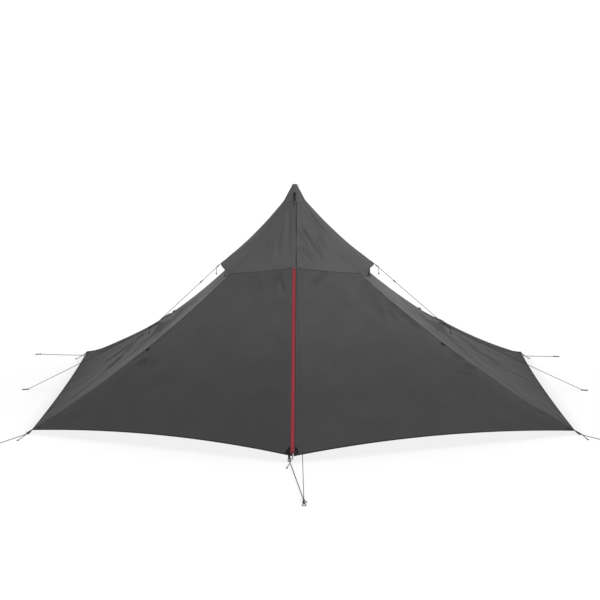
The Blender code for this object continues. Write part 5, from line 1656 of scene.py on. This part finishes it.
# %% Lay the tails
TAIL_ENDS = {
    "corner_lock_front_left": (-0.033, -0.150),
    "corner_lock_front_right": (0.020, -0.120),
    "corner_lock_rear_left": (-0.040, -0.130),
    "corner_lock_rear_right": (0.024, -0.100),
    "door_lock_front": (-0.021, -0.130),
    "door_lock_rear": (-0.021, 0.130),
}
HANGING_TAIL = 0.050
TAIL_CLEAR = 0.0028
TAIL_START = (LOCK_LENGTH - 0.0012, 0.0036, 0.0044)     # from the end of the lock's strap
TAIL_LEAD, LEAD_HANGING = 0.022, 0.014
HOOD_TAIL_OUT, HOOD_TAIL_ASIDE = 0.25, 0.8
NEAR_CLOTH = 0.03


def cloth_tree():
    """All the canopy's cloth as one search tree."""
    points, faces = [], []
    for panel in PANELS.values():
        grid, quads = panel.grid, grid_faces(panel.rows, panel.columns, first=len(points))
        facing = np.cross(grid[:-1, 1:] - grid[:-1, :-1], grid[1:, :-1] - grid[:-1, :-1])
        inward = ((facing * panel.normals[:-1, :-1]).sum(2) < 0).ravel()
        faces += [quad[::-1] if flip else quad for quad, flip in zip(quads, inward)]
        points += [tuple(p) for p in grid.reshape(-1, 3)]
    return BVHTree.FromPolygons(points, faces)


CLOTH_TREE = cloth_tree()


def off_the_cloth(place, clear):
    """The same place, or one moved out along the cloth's normal so that it stands clear of it."""
    near, normal, _, _ = CLOTH_TREE.find_nearest(place)
    height = (place - near).dot(normal)
    if height > clear or (place - near).length > NEAR_CLOTH:
        return place
    return place + normal * (clear - height)


def curve_between(a, b, c, d, steps=26):
    return [a * (1 - t) ** 3 + b * 3 * t * (1 - t) ** 2 + c * 3 * t * t * (1 - t) + d * t ** 3
            for t in shares(steps)]


def tail_route(name, place, strap):
    start = place @ Vector((strap + TAIL_START[0], *TAIL_START[1:]))
    out = (place.to_3x3() @ Vector((1, 0, 0))).normalized()
    if name in TAIL_ENDS:
        stop = Vector((*(start + out * 0.002 + Vector((*TAIL_ENDS[name], 0))).xy, GROUND))
        level = Vector((*(start - stop).xy, 0))
        route = curve_between(start, start + out * TAIL_LEAD, stop + level * 0.4, stop)
        return [Vector((*p.xy, max(p.z, GROUND))) for p in route]
    aside = pointing(place.to_3x3() @ Vector((0, 1, 0)), Vector((0, -1, 0)))
    if name.startswith("hood"):
        out = out * HOOD_TAIL_OUT + aside * HOOD_TAIL_ASIDE
    stop = start + out * 0.018 - UP * HANGING_TAIL + aside * 0.006
    route = curve_between(start, start + out * LEAD_HANGING, stop + UP * 0.022, stop)
    return smoothed(route[:1] + [off_the_cloth(p, TAIL_CLEAR) for p in route[1:]], 26)


for name, (place, strap) in LOCKS.items():
    route = tail_route(name, place, strap)
    tail = dress(tube(name + "_tail", route, CORD_RADIUS), "guy_cord", "canopy")
    tie = knot(name + "_tail_knot", route[-1], (route[-1] - route[-2]).normalized(), 2.5)
    lay = "loose" if name in TAIL_ENDS else "hanging"
    declare_cord(tail, route[0], route, "knot", lay, with_pieces=[tie])
print(len(LOCKS), "tails")

# %% [markdown]
# ## Reinforcements
# Where a line pulls on the cloth, a darker patch is sewn on with a stitched border, and the lock's strap
# runs on to it. Each patch is laid out flat and then dropped on to the nearest cloth, so it takes its
# folds.

# %% Sew on the patches
PATCH_LIFT = 0.0006
PATCH_REACH = 0.075
PATCH_BORDER = 0.88
TAB_LIFT, TOGGLE_TAB_LIFT, FOOT_LIFT, TACK_LIFT = 0.0016, 0.0022, 0.0013, 0.0020
TAB_LENGTH, DOOR_TAB_LENGTH = 0.024, 0.030
LEAD_GAP = 0.002                # a lock further off the cloth than this gets a strap that leads to it


def laid(points, lift):
    """Points dropped on to the nearest cloth and lifted off it, with the cloth's normals there."""
    places, normals = [], []
    for point in points:
        near, normal, _, _ = CLOTH_TREE.find_nearest(Vector(point))
        places.append(near + normal * lift)
        normals.append(normal)
    return places, normals


def patch_piece(name, outline, material, stitch="thread", lift=PATCH_LIFT, rings=12, spans=10):
    """A patch inside an outline of corners, with one border of stitches."""
    corners = [Vector(p) for p in outline]
    centre = sum(corners, Vector()) / len(corners)
    edge = []
    for number, first in enumerate(corners):
        second = corners[(number + 1) % len(corners)]
        edge += [first.lerp(second, step / spans) for step in range(spans)]
    places, _ = laid([centre.lerp(point, ring / rings) for ring in range(1, rings + 1) for point in edge],
                     lift)
    (middle,), (facing,) = laid([centre], lift)
    points, count = [middle] + places, len(edge)
    first = (edge[0] - centre).normalized()
    second = facing.cross(first)
    uvs = [((p - middle).dot(first), (p - middle).dot(second)) for p in points]
    faces = [(0, 1 + step, 1 + (step + 1) % count) for step in range(count)]
    faces += turned_over(grid_faces(rings, count, closed=True, first=1))
    if (points[faces[0][1]] - middle).cross(points[faces[0][2]] - middle).dot(facing) < 0:
        faces = [tuple(reversed(face)) for face in faces]
    sheet = dress(add_mesh(name, points, faces, uvs), material)
    border = [centre.lerp(point, PATCH_BORDER) for point in edge + edge[:1]]
    return join(name, [sheet, bead_rows(name + "_stitches", [laid(border, lift + 0.0004)], stitch)])


def around(middle, along, across, long, wide):
    """The corners of a rectangle that reaches long and wide to either side of its middle."""
    return [middle + along * a * long + across * b * wide for a, b in ((1, 1), (1, -1), (-1, -1), (-1, 1))]


def strap_tab(name, place, length):
    """The part of a lock's strap that runs on to the cloth, behind the lock."""
    start, back = place.translation, place.to_3x3() @ Vector((-1, 0, 0))
    half = place.to_3x3() @ Vector((0, 1, 0)) * (STRAP_WIDTH / 2)
    outline = [start + half, start - half, start + back * length - half, start + back * length + half]
    return patch_piece(name, outline, "strap_webbing", lift=TAB_LIFT, rings=6, spans=5)


patches = []
for side in (LEFT, RIGHT):
    part = SIDE_NAMES[side]
    for end in (FRONT, REAR):
        tip, name = corner(side, end), place_name(side, end)
        ridge = lower_ridge(side, end, 1 - PATCH_REACH / (tip - seam_point(side, end)).length)
        along_hem = PATCH_REACH / (2 * CORNER_DEPTH)
        side_point = side_hem(side, along_hem if end == FRONT else 1 - along_hem)
        door_point = door_hem(side, end, PATCH_REACH / (zip_foot(end) - tip).length)
        for key, hem_point in (("side", side_point), ("door", door_point)):
            patches.append(patch_piece(f"corner_patch_{key}_{name}", (tip, ridge, hem_point),
                                       "patch_cloth"))
    tie_place, tie_normal = PANELS["side_" + part].at(TIE_ROW, TIE_COLUMN)
    downhill = pointing((Vector((0, -1, 0)).cross(tie_normal) * side).normalized(), -UP)
    low, aside = tie_place + downhill * 0.055, Vector((0, 0.045, 0))
    outline = [tie_place - downhill * 0.030, low + aside, low - aside]
    patches.append(patch_piece("tie_out_patch_" + part, outline, "side_cloth"))
    tip, aside = hood_tip(side), Vector((0, 0.028, 0))
    uphill = Vector((-side * 0.75, 0, 0.66)).normalized()
    patches.append(patch_piece("hood_patch_" + part, [tip - aside, tip + aside, tip + uphill * 0.040],
                               "patch_cloth"))
for name, (place, strap) in LOCKS.items():
    if not name.startswith("peak_lock"):
        length = DOOR_TAB_LENGTH if name.startswith("door") else TAB_LENGTH
        patches.append(strap_tab(name + "_tab", place, length))
    near, normal, _, gap = CLOTH_TREE.find_nearest(place.translation)
    if gap > LEAD_GAP:
        back = (near - place.translation).normalized()
        route = [place.translation - back * 0.004, near + normal * 0.001,
                 near + back * 0.012 + normal * 0.001]
        lead = sweep(name + "_lead", smoothed(route, 14), place.to_3x3() @ Vector((0, 1, 0)),
                     band_section(STRAP_WIDTH, STRAP_THICKNESS))
        patches.append(dress(lead, "strap_webbing"))
for side, end in PLACES:
    name = "ridge_toggle_" + place_name(side, end)
    along = (corner(side, end) - seam_point(side, end)).normalized()
    outline = around(axes_of(name)[0], along, along.cross(UP).normalized(), 0.015, 0.011)
    patches.append(patch_piece(name + "_tab", outline, "strap_webbing", lift=TOGGLE_TAB_LIFT, rings=6,
                               spans=5))
for piece in patches:
    dress(piece, None, "canopy")
for end in (FRONT, REAR):
    foot, down = zip_foot(end), zip_line(end)
    for side, wide in ((LEFT, 0.055), (RIGHT, 0.045)):
        name, inner_edge = place_name(side, end), Vector((side * 0.0145, 0, 0))
        hem_point = door_hem(side, end, 1 - wide / (foot - corner(side, end)).length)
        outline = [foot + inner_edge - down * 0.010, foot + inner_edge - down * 0.072,
                   foot + inner_edge * 2 - down * 0.072, hem_point - down * 0.012]
        patch = patch_piece("zip_foot_patch_" + name, outline, "strap_webbing", lift=FOOT_LIFT)
        dress(patch, None, "door_" + name)
    outline = [zip_top(end) + Vector((x, 0, 0)) - down * y
               for x, y in ((-0.017, 0.008), (0.017, 0.008), (0.017, -0.014), (-0.017, -0.014))]
    tack = patch_piece("zip_top_tack_" + END_NAMES[end], outline, "bar_tack", "red_thread", TACK_LIFT)
    dress(tack, None, "canopy")
print(len(patches), "patches and tabs on the canopy")

# %% [markdown]
# ## Peak cap
# The cap is a cone of stiffer cloth sewn down over the tops of the four panels. Its lower edge is read
# off the panels, a finger's width below their upper edge, and its seams follow the four ridges. A small
# loop of webbing stands at the right of the top.

# %% Make the peak cap
CAP_LAP = 0.012
CAP_TIP = 1.6298
CAP_SWELL, SWELL_COLUMNS = 0.0008, 12
CAP_RISE = ((0.0822, 1.5055), (0.0640, 1.5400), (0.0455, 1.5750), (0.0300, 1.6030), (0.0235, 1.6145),
            (0.0215, 1.6200), (0.0195, 1.6250), (0.0165, 1.6278), (0.0115, 1.6292), (0.0055, 1.6297))
PEAK_LOOP = ((0.0195, 1.6225), (0.0260, 1.6260), (0.0330, 1.6225), (0.0345, 1.6130), (0.0320, 1.6040),
             (0.0300, 1.6020))
lap_lines, ridge_columns = [], []
for panel_name, step in (("top_front", 1), ("hood_right", 1), ("top_rear", -1), ("hood_left", -1)):
    ridge_columns.append(sum(len(part[0]) - 1 for part in lap_lines))
    lap_lines.append([PANELS[panel_name].inset("top", distance, lift)[::step]
                      for distance, lift in ((CAP_LAP, 0.0010), (CAP_LAP * 0.5, 0.0012))])
rings = [np.concatenate([part[row][:-1] for part in lap_lines]) for row in (0, 1)]
angles = np.arctan2(rings[1][:, 1], rings[1][:, 0])
count = len(angles)
steps = np.arange(count)
near = np.min([np.minimum(abs(steps - c), count - abs(steps - c)) for c in ridge_columns], 0)
for radius, height in CAP_RISE:
    ring = np.stack([radius * np.cos(angles), radius * np.sin(angles), np.full(count, height)], 1)
    swell = CAP_SWELL * np.cos(np.minimum(near, SWELL_COLUMNS) / SWELL_COLUMNS * math.pi)
    swell *= min(1, radius / 0.03)
    ring[:, :2] *= (1 + swell / radius)[:, None]
    rings.append(ring)
cap_uvs, far = [], 0.0
for number, ring in enumerate(rings):
    far += float(np.linalg.norm(ring[0] - rings[number - 1][0])) if number else 0.0
    cap_uvs += [(0.05 * step / count * math.tau, far) for step in range(count)]
last = (len(rings) - 1) * count
cap_faces = grid_faces(len(rings), count, closed=True)
cap_faces += [(last + step, last + (step + 1) % count, last + count) for step in range(count)]
cap = add_mesh("peak_cap_cloth", [*np.concatenate(rings), (0, 0, CAP_TIP)], cap_faces, cap_uvs + [(0, 0.2)])
dress(face_outwards(cap), "cap_cloth", "canopy", ["peak_cap"])
cap_area = sum(face.area for face in cap.data.polygons)
cap_routes = []
for column in ridge_columns:
    for step in ((column - 2) % count, (column + 2) % count):
        out = Vector((math.cos(angles[step]), math.sin(angles[step]), 0.6)).normalized()
        cap_routes += all_facing([[Vector(ring[step]) + out * 0.0006 for ring in rings[:-3]]], out)
lap_edge = [Vector(p) + UP * 0.0010 for p in [*rings[1], rings[1][0]]]
cap_stitches = bead_rows("peak_cap_stitches", cap_routes + all_facing([lap_edge], UP), "thread",
                         Pitch=0.0036)
dress(cap_stitches, None, "canopy")
loop_route = smoothed([Vector((x, 0, z)) for x, z in PEAK_LOOP], 24)
dress(sweep("peak_loop", loop_route, Vector((0, 1, 0)), band_section(0.010, 0.0011)), "strap_webbing",
      "canopy")
print("cap of", count, "columns, area", round(cap_area, 3), "square metres")

# %% [markdown]
# ## Vent nets
# Under each hood a net closes the vent. It stands between the sill and the inside of the hood, with a
# little slack. At each end of the vent a gusset of the side's cloth runs from the hood's lip to the sill
# and hides the net's end, because the photograph shows no dark gap there.

# %% Hang the vent nets and their gussets
NET_INSET, NET_END, NET_SLACK, NET_COLUMNS = 0.050, 0.006, 0.004, 61
GUSSET_COLUMNS, GUSSET_LIFT, LIP_HEM = 13, 0.0016, 0.004


def vent_edge(panel, edge, inset, lift):
    """A line along one edge of a vent, in even columns."""
    line = panel.inset(edge, inset, lift)
    away = rows_along(line)
    return at_lengths(line, away, np.linspace(NET_END, away[-1] - NET_END, NET_COLUMNS))


for side in (LEFT, RIGHT):
    part = SIDE_NAMES[side]
    hood, sill = PANELS["hood_" + part], vent_edge(PANELS["side_" + part], "top", 0.0, 0.0)
    inner, lip = vent_edge(hood, "foot", NET_INSET, -0.0020), vent_edge(hood, "foot", LIP_HEM, -0.0010)
    slack = np.array((side, 0, -1)) * NET_SLACK
    net = Panel(np.array([inner * (1 - t) + sill * t + slack * math.sin(math.pi * t) for t in shares(10)]),
                (side, 0, 0.2))
    piece = dress(net.piece("vent_net_cloth_" + part), "vent_mesh", "canopy",
                  ["vent_net_" + part])
    declare_panel(piece, net)
    for columns in (slice(0, GUSSET_COLUMNS), slice(-GUSSET_COLUMNS, None)):
        outwards = np.array((side, 0, 0)) * GUSSET_LIFT
        rows = [lip[columns] * (1 - t) + sill[columns] * t + outwards for t in shares(11)]
        gusset = Panel(np.array(rows), (side, 0, 0.2))
        end = FRONT if gusset.grid[0, 0, 1] < 0 else REAR
        piece = dress(gusset.piece("vent_gusset_" + place_name(side, end)), "side_cloth", "canopy")
        declare_panel(piece, gusset)
    print("vent net and gussets,", part, f"{cloth_area(net.grid):.3f} square metres of net")

# %% [markdown]
# ## Pulls, slide locks and toggles
# These small mouldings hang on the zips, the hood lines and the ridges. Each takes its place and its long
# axis from the solid that it stands for.

# %% Make the small mouldings
def oriented(name, long_hint, facing_hint):
    """A solid's frame with X towards one hint and Z towards the other, and its sizes."""
    middle, (long, wide, thin), sizes = axes_of(name)
    return axes_matrix(middle, pointing(long, long_hint), pointing(thin, facing_hint)), sizes


def stands_for(name, pieces, body):
    """Join the parts of a moulding, which takes the place of its solid."""
    dress(join(name + "_moulding", pieces), None, body, [name])


for end in (FRONT, REAR):
    name = "zip_pull_" + END_NAMES[end]
    place, (long, wide, deep) = oriented(name, zip_line(end), zip_out(end))
    tip, root, half = long / 2, -long / 2, wide / 2
    blade = [(root, -half * 0.86), (root + 0.010, -half), (-0.004, -half * 0.72),
             (tip - 0.016, -half * 0.95), (tip - 0.005, -half), (tip, -half * 0.55)]
    outline = blade + [(x, -y) for x, y in reversed(blade)]
    eye = [(tip - 0.0065 + 0.0013 * math.cos(math.tau * t), 0.0013 * math.sin(math.tau * t))
           for t in shares(12)[:-1]]
    slot = rounded_box(root + 0.0014, root + 0.0046, half * 0.42, 0.0006)
    plate = dress(flat_shape(name + "_blade", [outline, eye, slot], deep, 0.0005, place), "black_hardware")
    rows = grip_rows(place, [0.002 + step * 0.0019 for step in range(9)], half * 0.62, 5, deep / 2)
    grips = bead_rows(name + "_grips", rows, "black_hardware", Pitch=0.0009, Length=0.0013, Width=0.0008,
                      Height=0.0007)
    stands_for(name, [plate, grips], name)

for side in (LEFT, RIGHT):
    name = "slide_lock_" + SIDE_NAMES[side]
    run = Vector((side * HOOD_RUN[0], 0, HOOD_RUN[1])).normalized()
    place, (long, wide, deep) = oriented(name, run, Vector((side, 0, 2)))
    outline = rounded_box(-long / 2, long / 2, wide / 2, 0.0030)
    body = dress(flat_shape(name + "_body", [outline], deep, 0.0016, place), "black_hardware")
    rows = grip_rows(place, [(step - 3) * 0.0026 for step in range(7)], wide * 0.3, 7, deep / 2)
    ribs = bead_rows(name + "_ribs", rows, "black_hardware", Pitch=0.0010, Length=0.0015, Width=0.0011,
                     Height=0.0009)
    stands_for(name, [body, ribs], name)

TOGGLE_PROFILE = ((0.000, 0.0), (0.000, 0.55), (0.015, 0.80), (0.050, 0.97), (0.12, 1.00), (0.30, 0.90),
                  (0.42, 0.74), (0.46, 0.62), (0.50, 0.58))
TOGGLE_SIDES, ELASTIC_RADIUS = 20, 0.0009
for side, end in PLACES:
    name = "ridge_toggle_" + place_name(side, end)
    place, (long, wide, _) = oriented(name, Vector((side, end, 0)), UP)
    profile = [(-long / 2 + long * share, size * wide / 2) for share, size in TOGGLE_PROFILE]
    profile += [(-x, size) for x, size in reversed(profile[:-1])]
    turns = [math.tau * k / TOGGLE_SIDES for k in range(TOGGLE_SIDES)]
    points = [place @ Vector((x, size * math.cos(turn), size * math.sin(turn)))
              for x, size in profile for turn in turns]
    body = add_mesh(name + "_body", points, grid_faces(len(profile), TOGGLE_SIDES, closed=True))
    dress(face_outwards(body, weld=0.00001), "black_hardware")
    reach, rise = wide / 2 + 0.0006, -wide / 2 - 0.0035
    ring = [(0.0030, rise), (0.0016, -0.0020), (0.0008, reach * 0.6), (0, reach * 0.78),
            (-0.0008, reach * 0.6), (-0.0016, -0.0020), (-0.0030, rise)]
    route = smoothed([place @ Vector((x, 0, z)) for x, z in ring], 18)
    elastic = dress(tube(name + "_elastic", route, ELASTIC_RADIUS, 6), "guy_cord")
    stands_for(name, [body, elastic], "canopy")
print("2 pulls, 2 slide locks and 4 toggles")

# %% [markdown]
# ## Solids that stay on show
# The pole, its foot, clamp and lever, and the two sliders already have their full shape in the solid model.
# They are kept as they are and only get a surface.

# %% Give the solid pieces that stay visible their surfaces
KEPT = {"pole_upper": "pole_tube", "pole_lower": "pole_tube", "pole_foot": "pole_rubber",
        "pole_clamp": "black_hardware", "pole_lever": "black_hardware",
        "zip_slider_front": "zip_metal", "zip_slider_rear": "zip_metal"}
for name, material in KEPT.items():
    NODES[name].data.materials[0] = MATERIALS[material]
print("solid pieces on show:", ", ".join(KEPT))

# %% [markdown]
# ## Finish
# The size of the visible tent is measured and printed, as the solid one's was at the start.

# %% Print the sizes and finish
low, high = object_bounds()
{"cad": [list(cad_low), list(cad_high)], "visual": [list(low), list(high)]}
print("visual model spans", [round(b - a, 3) for a, b in zip(low, high)], "m")
